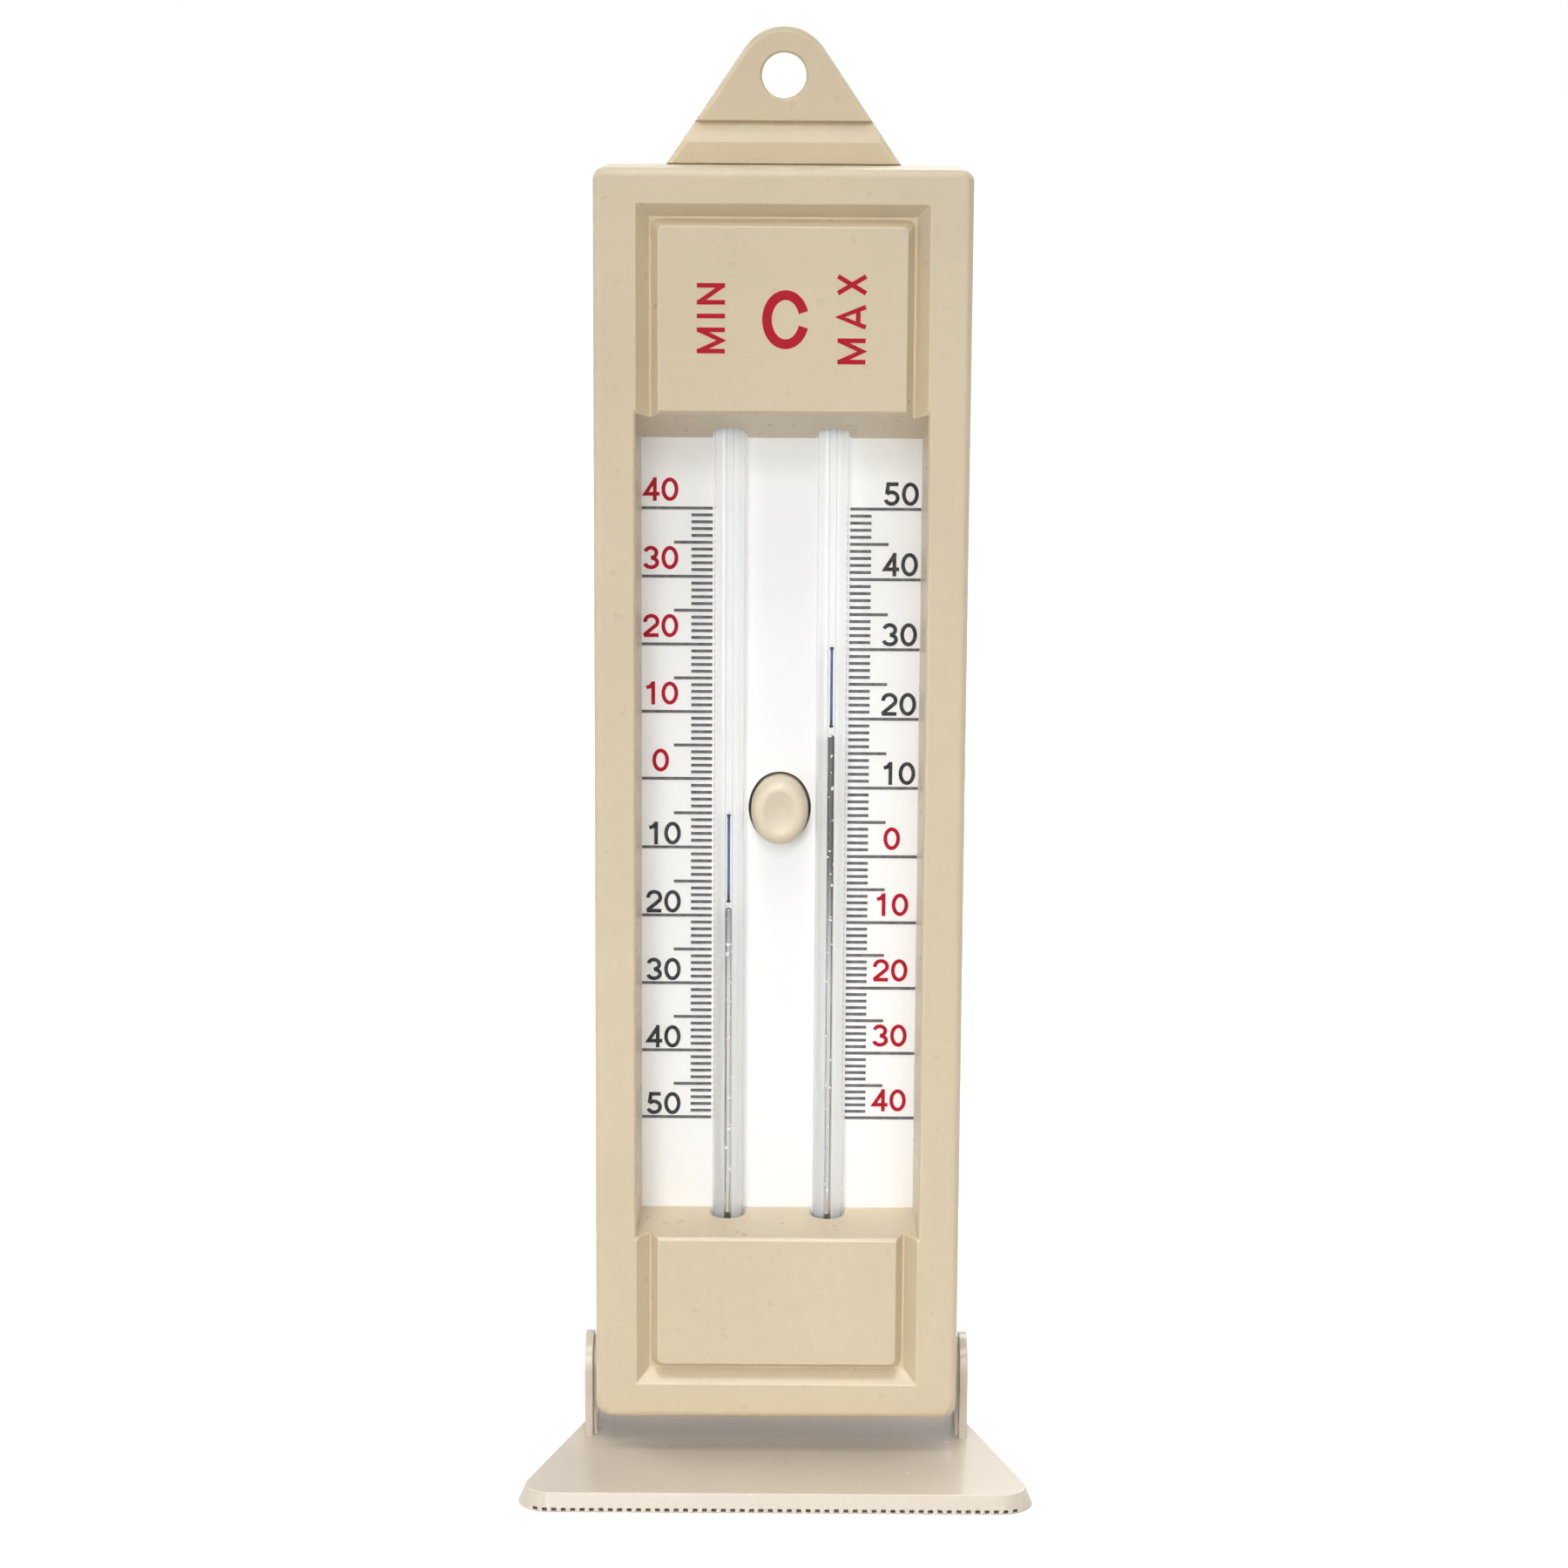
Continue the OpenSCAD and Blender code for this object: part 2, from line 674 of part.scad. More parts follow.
// Rear cover with the hanging lug, vents, locating lip, guide posts and spring seat.
module rear_cover() {
    lip_x = inner_x - fit_gap;
    lip_low = wall + fit_gap;
    lip_high = case_h - wall - fit_gap;
    color([0.84, 0.78, 0.66]) in_case() difference() {
        union() {
            intersection() {
                outer_form();
                translate([-case_w, cover_y, -overlap]) cube([2 * case_w, case_d, case_h + 2 * overlap]);
            }
            lug();
            difference() {
                slice(cover_y - lip_d, cover_y + overlap) plaque(lip_x, lip_low, lip_high, 0.7);
                slice(cover_y - lip_d - overlap, cover_y)
                    plaque(lip_x - lip_t, lip_low + lip_t, lip_high - lip_t, 0.5);
                at_cover_screws() round_y(0, 0, boss_r + fit_gap, cover_y - lip_d - overlap, cover_y);
            }
            for (s = [-1, 1])
                round_y(0, button_z + s * guide_span / 2, guide_r, plate_back + guide_inset, cover_y + overlap);
            difference() {
                round_y(0, button_z, seat_outer_r, cover_y - seat_t, cover_y + overlap);
                round_y(0, button_z, seat_inner_r, cover_y - seat_t - overlap, cover_y);
            }
        }
        round_y(0, lug_z, lug_hole_r, 0, case_d + overlap);
        for (turn = [0, 1])
            translate([0, turn == 0 ? lug_y : case_d, lug_z]) rotate([90 - 180 * turn, 0, 0])
                translate([0, 0, -hole_bevel])
                    cylinder(h = 2 * hole_bevel, r1 = lug_hole_r, r2 = lug_hole_r + 2 * hole_bevel);
        at_cover_screws() {
            round_y(0, 0, cover_screw_r + loose_gap, 0, case_d + overlap);
            translate([0, case_d - cover_screw_r, 0]) rotate([-90, 0, 0])
                cylinder(h = cover_screw_r + 0.01, r1 = cover_screw_r + 0.1, r2 = 2 * cover_screw_r + 0.11);
        }
        for (i = [0 : vent_n - 1])
            translate([(i - (vent_n - 1) / 2) * 3 * vent_w, 0, plate_top - vent_l - 0.5])
                slice(cover_y - overlap, case_d + overlap)
                    plaque(vent_w / 2, 0, vent_l, vent_w / 2 - 0.01);
    }
}

// White plate that carries the glass and the scales.
module scale_plate() {
    small_pilot = small_screw_r + screw_gap;
    corner_x = boss_x - boss_r - corner_gap;
    corner_z = boss_low + boss_r + corner_gap;
    color([0.95, 0.95, 0.93]) in_case() difference() {
        union() {
            slice(plate_y, plate_back) difference() {
                plaque(plate_x, plate_low, plate_top, 0.6);
                for (sx = [-1, 1]) {
                    translate([sx * (corner_x + case_w / 2), 0])
                        square([case_w, 2 * corner_z], center = true);
                    translate([sx * (corner_x + case_w / 2), case_h])
                        square([case_w, 2 * corner_z], center = true);
                }
                translate([-limb_x, main_bulb_top])
                    square([2 * (main_bulb_r + bulb_room), 2 * (main_bulb_l + bulb_room)], center = true);
                translate([limb_x, bulb_z + small_bulb_l / 2])
                    square([2 * (small_bulb_r + bulb_room), small_bulb_l + 2 * bulb_room], center = true);
                translate([0, button_z]) oval(button_gap);
            }
            at_clamp_screws() round_y(0, 0, plate_boss_r, plate_y + plate_t / 2, plate_back + plate_boss_l);
        }
        at_clamp_screws() round_y(0, 0, small_pilot, plate_y - overlap, plate_back + plate_boss_l + overlap);
        at_plate_screws() round_y(0, 0, small_screw_r + loose_gap, plate_y - overlap, plate_back + overlap);
    }
}

// Printed lines of one scale: side is -1 for the left, 1 for the right.
module scale_lines(side) {
    for (t = [-coldest : warmest]) {
        len = t % 10 == 0 ? line_long : t % 5 == 0 ? line_middle : line_short;
        z = side < 0 ? left_z(t) : right_z(t);
        x = side < 0 ? -line_inner - len : line_inner;
        translate([x, plate_y - print_t, z - line_w / 2]) cube([len, print_t, line_w]);
    }
}

// Both printed scales.
module scale_marks() {
    color([0.2, 0.2, 0.2]) in_case() {
        scale_lines(-1);
        scale_lines(1);
    }
}

// Two limbs joined by a half ring below, with radius r, up to heights left_top and right_top.
module u_form(r, left_top, right_top) {
    translate([-limb_x, tube_y, bend_z]) cylinder(h = left_top - bend_z, r = r);
    translate([limb_x, tube_y, bend_z]) cylinder(h = right_top - bend_z, r = r);
    translate([0, tube_y, bend_z]) rotate([-90, 0, 0])
        rotate_extrude(angle = 180) translate([limb_x, 0]) circle(r);
}

// Closed tube with round ends from height z0 to height z1.
module capsule(x, r, z0, z1) {
    translate([x, tube_y, z0]) rotate_extrude() intersection() {
        union() {
            translate([0, r]) circle(r);
            translate([0, z1 - z0 - r]) circle(r);
            translate([-r, r]) square([2 * r, z1 - z0 - 2 * r]);
        }
        square([r, z1 - z0]);
    }
}

// Glass tube with its fine bore, main bulb, expansion bulb and sealed tips.
module glass_tube() {
    color([0.85, 0.88, 0.88, 0.4]) in_case() difference() {
        union() {
            u_form(tube_r, limb_top, limb_top);
            capsule(-limb_x, main_bulb_r, bulb_z, main_bulb_top);
            capsule(limb_x, small_bulb_r, bulb_z, small_bulb_top);
            for (p = [[-limb_x, main_bulb_top], [limb_x, small_bulb_top]])
                translate([p[0], tube_y, p[1] - 0.3]) cylinder(h = tip_l + 0.3, r1 = tip_r, r2 = tip_r / 2);
        }
        u_form(bore_r, bulb_z + 2 * bulb_wall, bulb_z + 2 * bulb_wall);
        capsule(-limb_x, main_bulb_r - bulb_wall, bulb_z + bulb_wall, main_bulb_top - bulb_wall);
        capsule(limb_x, small_bulb_r - bulb_wall, bulb_z + bulb_wall, small_bulb_top - bulb_wall);
    }
}

// Mercury in the bend and both limbs, with domed ends.
module mercury_thread() {
    dome = mercury_r;
    color([0.35, 0.35, 0.37]) in_case() {
        u_form(mercury_r, left_mercury - dome, right_mercury - dome);
        for (p = [[-limb_x, left_mercury], [limb_x, right_mercury]])
            translate([p[0], tube_y, p[1] - dome]) sphere(mercury_r);
    }
}

// Liquid in the main bulb.
module bulb_liquid() {
    r = main_bulb_r - bulb_wall - liquid_gap;
    inset = bulb_wall + liquid_gap;
    color([0.8, 0.85, 0.9]) in_case()
        capsule(-limb_x, r, bulb_z + inset, main_bulb_top - inset);
}

// Index pin with a bead at each end, standing at height z in the limb at x.
module index_pin(x, z, l) {
    color([0.2, 0.25, 0.5]) in_case() translate([x, tube_y, z]) {
        translate([0, 0, bead_r]) cylinder(h = l - 2 * bead_r, r = index_r);
        for (h = [bead_r, l - bead_r])
            translate([0, 0, h]) sphere(bead_r);
    }
}

module min_index() {
    index_pin(-limb_x, left_z(reading - lowest_under), min_index_l);
}

module max_index() {
    index_pin(limb_x, right_z(reading + highest_over), max_index_l);
}

// Front view of the button: an oval of four arcs, grown by g.
// The centres of two arcs that meet stand 4 to 3, so that their radii differ by 5 such parts.
module oval(g) {
    for (side = [-1, 1])
        translate([0, side * end_shift]) circle(end_arc_r + g);
    intersection() {
        translate([-side_shift, 0]) circle(side_arc_r + g);
        translate([side_shift, 0]) circle(side_arc_r + g);
        square([4 * button_r, 2 * (end_shift + 0.6 * (end_arc_r + g))], center = true);
    }
}

// Wedge that holds the side arc on the right, and wedge that holds the upper end arc.
module side_wedge() {
    l = case_d / 5;
    polygon([[-side_shift, 0], [4 * l - side_shift, 3 * l], [4 * l - side_shift, -3 * l]]);
}

module end_wedge() {
    l = case_d / 5;
    polygon([[0, end_shift], [4 * l, end_shift + 3 * l], [-4 * l, end_shift + 3 * l]]);
}

// Section through the button's face and wall, out to the radius r of one arc.
module button_section(r) {
    hollow_y = button_front + dish_d + button_face;
    difference() {
        union() {
            translate([0, button_front + button_rim])
                square([r, carrier_y - button_front - button_rim]);
            translate([0, button_front]) square([r - button_rim, button_rim + 0.1]);
            translate([r - button_rim, button_front + button_rim]) circle(button_rim);
        }
        translate([-overlap, hollow_y])
            square([r - button_wall + overlap, carrier_y - hollow_y + overlap]);
        translate([-2 * button_r, 0]) square([2 * button_r, 2 * case_d]);
    }
}

// Dish of the button: deeper curved across than along its height.
module button_dish() {
    across_r = (dish_x * dish_x + dish_d * dish_d) / (2 * dish_d);
    along_r = (dish_z * dish_z + dish_d * dish_d) / (2 * dish_d);
    translate([0, button_front + dish_d - along_r, 0]) rotate([0, 90, 0])
        rotate_extrude($fn = 120) intersection() {
            translate([along_r - across_r, 0]) circle(across_r, $fn = 72);
            translate([0, -2 * across_r]) square([2 * along_r, 4 * across_r]);
        }
}

// Hollow oval button with a rounded rim, a dished face and a screw post inside.
module reset_button() {
    color([0.87, 0.81, 0.69]) in_case() translate([0, 0, button_z]) difference() {
        union() {
            for (turn = [0, 180])
                rotate([0, turn, 0]) {
                    intersection() {
                        translate([-side_shift, 0, 0]) rotate([-90, 0, 0])
                            rotate_extrude() button_section(side_arc_r);
                        slice(0, case_d) side_wedge();
                    }
                    intersection() {
                        translate([0, 0, end_shift]) rotate([-90, 0, 0])
                            rotate_extrude() button_section(end_arc_r);
                        slice(0, case_d) end_wedge();
                    }
                }
            round_y(0, 0, post_r, button_front + dish_d + button_face - 0.1, carrier_y);
            round_y(0, 0, spigot_r, carrier_y - 0.1, hub_y);
        }
        button_dish();
        round_y(0, 0, small_screw_r + screw_gap, hub_y - button_screw_l - 0.3, case_d);
    }
}

// Carrier behind the scale plate, with beds for both magnets and holes for the guides.
module magnet_carrier() {
    z0 = button_z - carrier_h / 2;
    bed = magnet_w / 2 + magnet_gap;
    slot_x = limb_x - magnet_w / 2 - 3.1;
    color([0.3, 0.3, 0.32]) in_case() difference() {
        union() {
            slice(carrier_y, carrier_back) plaque(carrier_w / 2, z0, z0 + carrier_h, 2);
            for (sx = [-1, 1])
                for (z = [z0 + stop_inset, z0 + carrier_h - stop_inset])
                    round_y(sx * stop_x, z, stop_r, plate_back + stop_gap, carrier_y + overlap);
        }
        for (sx = [-1, 1])
            translate([sx * limb_x - bed, carrier_y - overlap, button_z - magnet_l / 2 - magnet_gap])
                cube([2 * bed, magnet_t + overlap, magnet_l + 2 * magnet_gap]);
        for (s = [-1, 1]) {
            round_y(0, button_z + s * guide_span / 2, guide_r + running_gap, 0, case_d);
            slice(carrier_y - overlap, carrier_back + overlap)
                translate([0, button_z + s * (slot_from + slot_to) / 2])
                    plaque(slot_x, (slot_from - slot_to) / 2, (slot_to - slot_from) / 2, 1);
        }
        round_y(0, button_z, spigot_r + running_gap, 0, case_d);
        round_y(0, button_z, hub_r, hub_y, case_d);
    }
}

// Magnet strip behind the limb at x.
module magnet(x) {
    color([0.15, 0.15, 0.16]) in_case()
        translate([x - magnet_w / 2, carrier_y, button_z - magnet_l / 2])
            cube([magnet_w, magnet_t, magnet_l]);
}

module magnet_left() {
    magnet(-limb_x);
}

module magnet_right() {
    magnet(limb_x);
}

// Return spring: centre of ring i, and point k on that ring.
spring_count = round(spring_turns * spring_rings);
spring_pitch = (spring_end - spring_start) / spring_turns;
function ring_centre(i) =
    let (a = 360 * i / spring_rings)
    [spring_r * cos(a), spring_start + spring_pitch * i / spring_rings, spring_r * sin(a)];
function ring_point(i, k) =
    let (
        a = 360 * i / spring_rings,
        b = 360 * k / spring_sides,
        lean = atan2(spring_pitch, 2 * PI * spring_r),
        out = [cos(a), 0, sin(a)],
        across = [sin(a) * sin(lean), cos(lean), -cos(a) * sin(lean)]
    )
    ring_centre(i) + spring_wire_r * (cos(b) * out + sin(b) * across);
spring_free = min([
    for (i = [0 : spring_count])
        for (j = [i + spring_rings - 2 : 1 : spring_count])
            norm(ring_centre(i) - ring_centre(j)) - 2 * spring_wire_r
]);
echo(spring_least_gap_mm = spring_free);

// Return spring as one unbroken coil.
module return_spring() {
    n = spring_sides;
    points = [for (i = [0 : spring_count]) for (k = [0 : n - 1]) ring_point(i, k)];
    sides = [
        for (i = [0 : spring_count - 1])
            for (k = [0 : n - 1])
                let (a = i * n + k, b = i * n + (k + 1) % n)
                each [[a, a + n, b + n], [a, b + n, b]]
    ];
    first = [for (k = [1 : n - 2]) [0, k, k + 1]];
    last = [for (k = [1 : n - 2]) [spring_count * n, spring_count * n + k + 1, spring_count * n + k]];
    color([0.7, 0.7, 0.72]) in_case() translate([0, 0, button_z])
        polyhedron(points = points, faces = concat(sides, first, last));
}

// Screw along Y with a pan head: under-head face at y = 0, head towards -Y.
module pan_screw(r, l, hr, ht) {
    rotate([-90, 0, 0]) cylinder(h = l, r = r);
    difference() {
        rotate([90, 0, 0]) cylinder(h = ht, r1 = hr, r2 = hr - 0.3);
        cross_recess(-ht, hr);
    }
}

// Cross recess in a screw head whose outer face lies at depth y.
module cross_recess(y, hr) {
    for (a = [0, 90])
        rotate([0, a, 0])
            translate([-0.65 * hr, y - overlap, -0.15 * hr])
                cube([1.3 * hr, overlap + 0.5, 0.3 * hr]);
}

// Screw that holds the button on the carrier, driven from behind.
module button_screw() {
    color([0.75, 0.75, 0.77]) in_case() translate([0, hub_y, button_z]) rotate([0, 0, 180])
        pan_screw(small_screw_r, button_screw_l, button_screw_head_r, button_screw_head_t);
}

// Saddle across both limbs, standing on the scale plate at height z.
module clamp(z) {
    r = tube_r + clamp_gap;
    color([0.82, 0.76, 0.64]) in_case() translate([0, 0, z]) difference() {
        linear_extrude(clamp_h) difference() {
            union() {
                translate([-clamp_l / 2, plate_y - clamp_foot_t]) square([clamp_l, clamp_foot_t]);
                translate([-limb_x, clamp_y]) square([2 * limb_x, plate_y - clamp_y]);
                for (sx = [-1, 1])
                    translate([sx * limb_x, tube_y]) {
                        circle(tube_r + clamp_t);
                        translate([-tube_r - clamp_t, 0])
                            square([2 * (tube_r + clamp_t), plate_y - tube_y]);
                    }
            }
            for (sx = [-1, 1])
                translate([sx * limb_x, tube_y]) {
                    circle(r);
                    translate([-r, 0]) square([2 * r, case_d]);
                }
            translate([-clamp_l, plate_y]) square([2 * clamp_l, case_d]);
        }
        for (sx = [-1, 1])
            round_y(sx * clamp_screw_x, clamp_h / 2, small_screw_r + loose_gap, 0, case_d);
    }
}

module upper_clamp() {
    clamp(upper_clamp_z);
}

module lower_clamp() {
    clamp(lower_clamp_z);
}

// Screws of both tube clamps, driven from the front.
module clamp_screws() {
    l = clamp_foot_t + plate_t + plate_boss_l - 0.4;
    color([0.75, 0.75, 0.77]) in_case()
        at_clamp_screws() translate([0, plate_y - clamp_foot_t, 0])
            pan_screw(small_screw_r, l, clamp_head_r, clamp_head_t);
}

// Screws of the scale plate, driven from behind.
module plate_screws() {
    color([0.75, 0.75, 0.77]) in_case()
        at_plate_screws() translate([0, plate_back, 0]) rotate([0, 0, 180])
            pan_screw(small_screw_r, plate_screw_l, plate_head_r, plate_head_t);
}

// Countersunk screws of the rear cover.
module cover_screws() {
    head_h = cover_screw_r;
    color([0.75, 0.75, 0.77]) in_case()
        at_cover_screws() difference() {
            union() {
                round_y(0, 0, cover_screw_r, case_d - cover_screw_l, case_d - head_h + 0.01);
                translate([0, case_d - head_h, 0]) rotate([-90, 0, 0])
                    cylinder(h = head_h, r1 = cover_screw_r, r2 = 2 * cover_screw_r);
            }
            translate([0, case_d, 0]) rotate([0, 0, 180]) cross_recess(0, 2 * cover_screw_r);
        }
}

// Foam pad between the main bulb and the rear cover, under the vents.
module bulb_pad() {
    y0 = tube_y + main_bulb_r + foam_gap;
    w = 2 * (main_bulb_r + bulb_wall);
    color([0.25, 0.25, 0.27]) in_case()
        translate([-limb_x - w / 2, y0, bulb_z + bulb_wall + 1.3]) cube([w, cover_y - y0, foam_l]);
}

// Foot plate: rounded front corners, drafted walls that run into the ears, straight back.
module foot_plate() {
    hull() {
        for (sx = [-1, 1])
            translate([sx * (foot_w / 2 - foot_corner_r), foot_front + foot_corner_r, 0])
                cylinder(h = foot_t, r1 = foot_corner_r, r2 = foot_corner_r - foot_draft, $fn = 96);
        translate([-ear_x, taper_end - overlap, 0]) cube([2 * ear_x, overlap, foot_t]);
    }
    translate([-ear_x, taper_end - overlap, 0]) cube([2 * ear_x, foot_back - taper_end + overlap, foot_t]);
}

// Side view of an ear or of the pad inside it, with radius r round the pivot, down to height z0.
module ear_outline(r, z0) {
    translate([pivot_y, pivot_z]) circle(r, $fn = 96);
    translate([pivot_y - r, z0]) square([2 * r, pivot_z - z0]);
}

// Foot with two ears, the pads and pivot pins inside them and slots along the front edge.
module foot() {
    top = -foot_gap;
    slots = floor((foot_w - 2 * slot_pitch) / slot_pitch / 2);
    pad_t = ear_gap - pad_gap;
    color([0.84, 0.8, 0.74]) in_case() difference() {
        union() {
            translate([0, 0, top - foot_t]) foot_plate();
            for (sx = [-1, 1]) {
                translate([sx * (ear_x - ear_t / 2), 0, 0])
                    bar(ear_t / 2) ear_outline(ear_r, top - 0.1);
                translate([sx * (ear_x - ear_t - pad_t / 2 + 0.05), 0, 0])
                    bar(pad_t / 2 + 0.05) ear_outline(ear_pad_r, top - 0.1);
                translate([sx * (ear_x - ear_t / 2), pivot_y, pivot_z]) rotate([0, -90 * sx, 0])
                    cylinder(h = ear_x - ear_t / 2 - pin_end, r = pivot_r);
            }
        }
        for (i = [-slots : slots - 1])
            translate([(i + 0.5) * slot_pitch - slot_w / 2, foot_front - overlap, top - foot_t + slot_rise])
                cube([slot_w, slot_l + overlap, slot_t]);
    }
}

front_case();
rear_cover();
scale_plate();
scale_marks();
glass_tube();
mercury_thread();
bulb_liquid();
min_index();
max_index();
reset_button();
magnet_carrier();
magnet_left();
magnet_right();
return_spring();
button_screw();
upper_clamp();
lower_clamp();
clamp_screws();
plate_screws();
cover_screws();
bulb_pad();
foot();
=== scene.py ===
# %% [markdown]
# # A maximum and minimum thermometer for a poultry house
# The object is a tall beige case with a deep window. Behind the window stand a white scale plate, a glass
# tube bent into a U, two small blue index pins and a push button. The case stands on a folding foot.
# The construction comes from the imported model, so the first step loads it. Everything after that adds
# the finish: plastics, glass, mercury and print.

# %% Load the construction
import math
import bmesh
import bpy
from mathutils import Matrix, Vector, noise
from mathutils.geometry import delaunay_2d_cdt


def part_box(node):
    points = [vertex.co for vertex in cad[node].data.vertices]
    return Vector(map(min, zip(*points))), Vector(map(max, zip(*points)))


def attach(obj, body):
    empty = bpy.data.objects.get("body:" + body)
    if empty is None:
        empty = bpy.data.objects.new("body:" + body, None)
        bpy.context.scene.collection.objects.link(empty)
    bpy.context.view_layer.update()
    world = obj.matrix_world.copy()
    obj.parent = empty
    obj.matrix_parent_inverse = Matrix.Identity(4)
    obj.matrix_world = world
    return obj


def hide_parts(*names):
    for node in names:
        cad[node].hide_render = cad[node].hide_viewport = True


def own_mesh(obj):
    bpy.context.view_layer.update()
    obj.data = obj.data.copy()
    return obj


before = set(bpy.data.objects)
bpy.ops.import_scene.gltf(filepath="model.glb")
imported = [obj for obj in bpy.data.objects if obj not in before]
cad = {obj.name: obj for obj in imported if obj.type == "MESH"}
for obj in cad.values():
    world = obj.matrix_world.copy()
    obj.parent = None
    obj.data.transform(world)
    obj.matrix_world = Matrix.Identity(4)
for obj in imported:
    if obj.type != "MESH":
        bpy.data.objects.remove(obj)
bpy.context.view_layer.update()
print("loaded", len(cad), "pieces of the construction")

# %% [markdown]
# ## Measures from the frame
# The frame is in metres and small parts are easier to think of in millimetres, so `MM` is the first value.
# The places that the later steps need are read from the boxes of the pieces that carry them: the scale plate
# carries the numbers, the mercury marks the axis of the glass, and the case carries the printed words.

# %% Measures from the frame
MM = 0.001

marks_low, marks_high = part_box("scale_marks")
thread_low, thread_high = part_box("mercury_thread")
front_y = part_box("front_case")[0].y
plate_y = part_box("scale_plate")[0].y
tube_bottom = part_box("glass_tube")[0].z
print("case front at y", round(front_y / MM, 2), "mm, plate at y", round(plate_y / MM, 2), "mm")

# %% [markdown]
# ## Camera
# The photograph was taken from a little above the case with a long lens, so the sides of the case stay almost
# parallel. The camera is placed by a distance and a pitch from the point that it looks at, which is easier to
# read than a list of coordinates. A turn of a third of a degree about the view axis follows the picture.

# %% Camera
view_distance = 588 * MM
view_pitch = math.radians(10.8)
view_roll = math.radians(0.363)
aim_point = Vector((0.66, -3.0, 113.25)) * MM
lens_length = 86.46
film_width = 36

forward = Vector((0, math.cos(view_pitch), -math.sin(view_pitch)))
level_up = Vector((0, math.sin(view_pitch), math.cos(view_pitch)))
camera_right = Vector((1, 0, 0)) * math.cos(view_roll) + level_up * math.sin(view_roll)
camera_up = level_up * math.cos(view_roll) - Vector((1, 0, 0)) * math.sin(view_roll)

camera_data = bpy.data.cameras.new("camera")
camera_data.sensor_width = film_width
camera_data.lens = lens_length
camera = bpy.data.objects.new("camera", camera_data)
bpy.context.scene.collection.objects.link(camera)
turn = Matrix((camera_right, camera_up, -forward)).transposed()
camera.matrix_world = Matrix.Translation(aim_point - forward * view_distance) @ turn.to_4x4()
bpy.context.scene.camera = camera
print("camera at", [round(c / MM, 1) for c in camera.location], "mm")

# %% [markdown]
# ## Helpers for shader nodes
# Every finish below is a small tree of nodes. `add_node` makes one node, sets its properties and fills or
# links its inputs in a single call, so that a material reads from top to bottom like a recipe. `linear` turns
# a colour judged on the usual scale of 0 to 255 into the linear values that shaders work with. A noise
# node seldom leaves `noise_range`, so most noises are stretched from there, and `patch_range` leaves patches.

# %% Helpers for shader nodes
noise_range = (0.3, 0.7)
patch_range = (0.35, 0.75)


def linear(red, green, blue):
    """The linear colour of a shade given on the screen's scale of 0 to 255."""
    shade = []
    for value in (red, green, blue):
        part = value / 255
        shade.append(part / 12.92 if part < 0.04045 else ((part + 0.055) / 1.055) ** 2.4)
    return (*shade, 1)


def add_node(tree, kind, inputs=None, **settings):
    """A new node of that kind. An input is a plain value, or a socket to link from."""
    made = tree.nodes.new("ShaderNode" + kind)
    for name, value in settings.items():
        setattr(made, name, value)
    for name, value in (inputs or {}).items():
        if isinstance(value, bpy.types.NodeSocket):
            tree.links.new(value, made.inputs[name])
        else:
            made.inputs[name].default_value = value
    return made


def new_material(name):
    """An empty node material and its tree."""
    material = bpy.data.materials.new(name)
    material.use_nodes = True
    material.node_tree.nodes.clear()
    return material, material.node_tree


def finish_with(tree, shader):
    """Sends a shader to the material's output."""
    add_node(tree, "OutputMaterial", {"Surface": shader})


def spread(tree, value, low, high, to_low=0.0, to_high=1.0):
    """The value, stretched from low..high to another range and clamped there."""
    limits = {"Value": value, "From Min": low, "From Max": high, "To Min": to_low, "To Max": to_high}
    return add_node(tree, "MapRange", limits, clamp=True).outputs["Result"]


def times(tree, first, second):
    """The product of two values."""
    return add_node(tree, "Math", {0: first, 1: second}, operation="MULTIPLY").outputs[0]


def blend_colours(tree, amount, first, second):
    """The first colour where amount is 0, and the second where it is 1."""
    return add_node(tree, "Mix", {0: amount, 6: first, 7: second}, data_type="RGBA").outputs[2]


def shaded(colour, factor):
    """The same colour, lighter or darker."""
    return tuple(min(1, part * factor) for part in colour[:3]) + (1,)


print("node helpers ready")

# %% [markdown]
# ## Floor, background and light
# The thermometer stands on a wide white floor under soft lamps. The lamps are set so that a surface facing
# the camera returns about the colour that it is painted with. The white background doesn't come from more
# light: it is a property of what the camera sees, made with the Light Path node. Reflections and glass ask
# for the same white. Near the object the floor adds less of it, so that the shadow from the lamps stays, and
# the added part grows with the distance until it reaches full white.

# %% Floor and background
def sees_background(tree):
    """1 for rays that come straight from the camera, from a reflection or through glass."""
    path = add_node(tree, "LightPath")
    either = add_node(
        tree, "Math", {0: path.outputs["Is Camera Ray"], 1: path.outputs["Is Glossy Ray"]}, operation="MAXIMUM"
    )
    return add_node(
        tree, "Math", {0: either.outputs[0], 1: path.outputs["Is Transmission Ray"]}, operation="MAXIMUM"
    ).outputs[0]


ambient_level = 0.2
world = bpy.data.worlds.new("studio")
world.use_nodes = True
bpy.context.scene.world = world
sky = world.node_tree
sky.nodes.clear()
sky_strength = spread(sky, sees_background(sky), 0, 1, ambient_level, 1.0)
sky_light = add_node(sky, "Background", {"Color": (1, 1, 1, 1), "Strength": sky_strength})
add_node(sky, "OutputWorld", {"Surface": sky_light.outputs[0]})

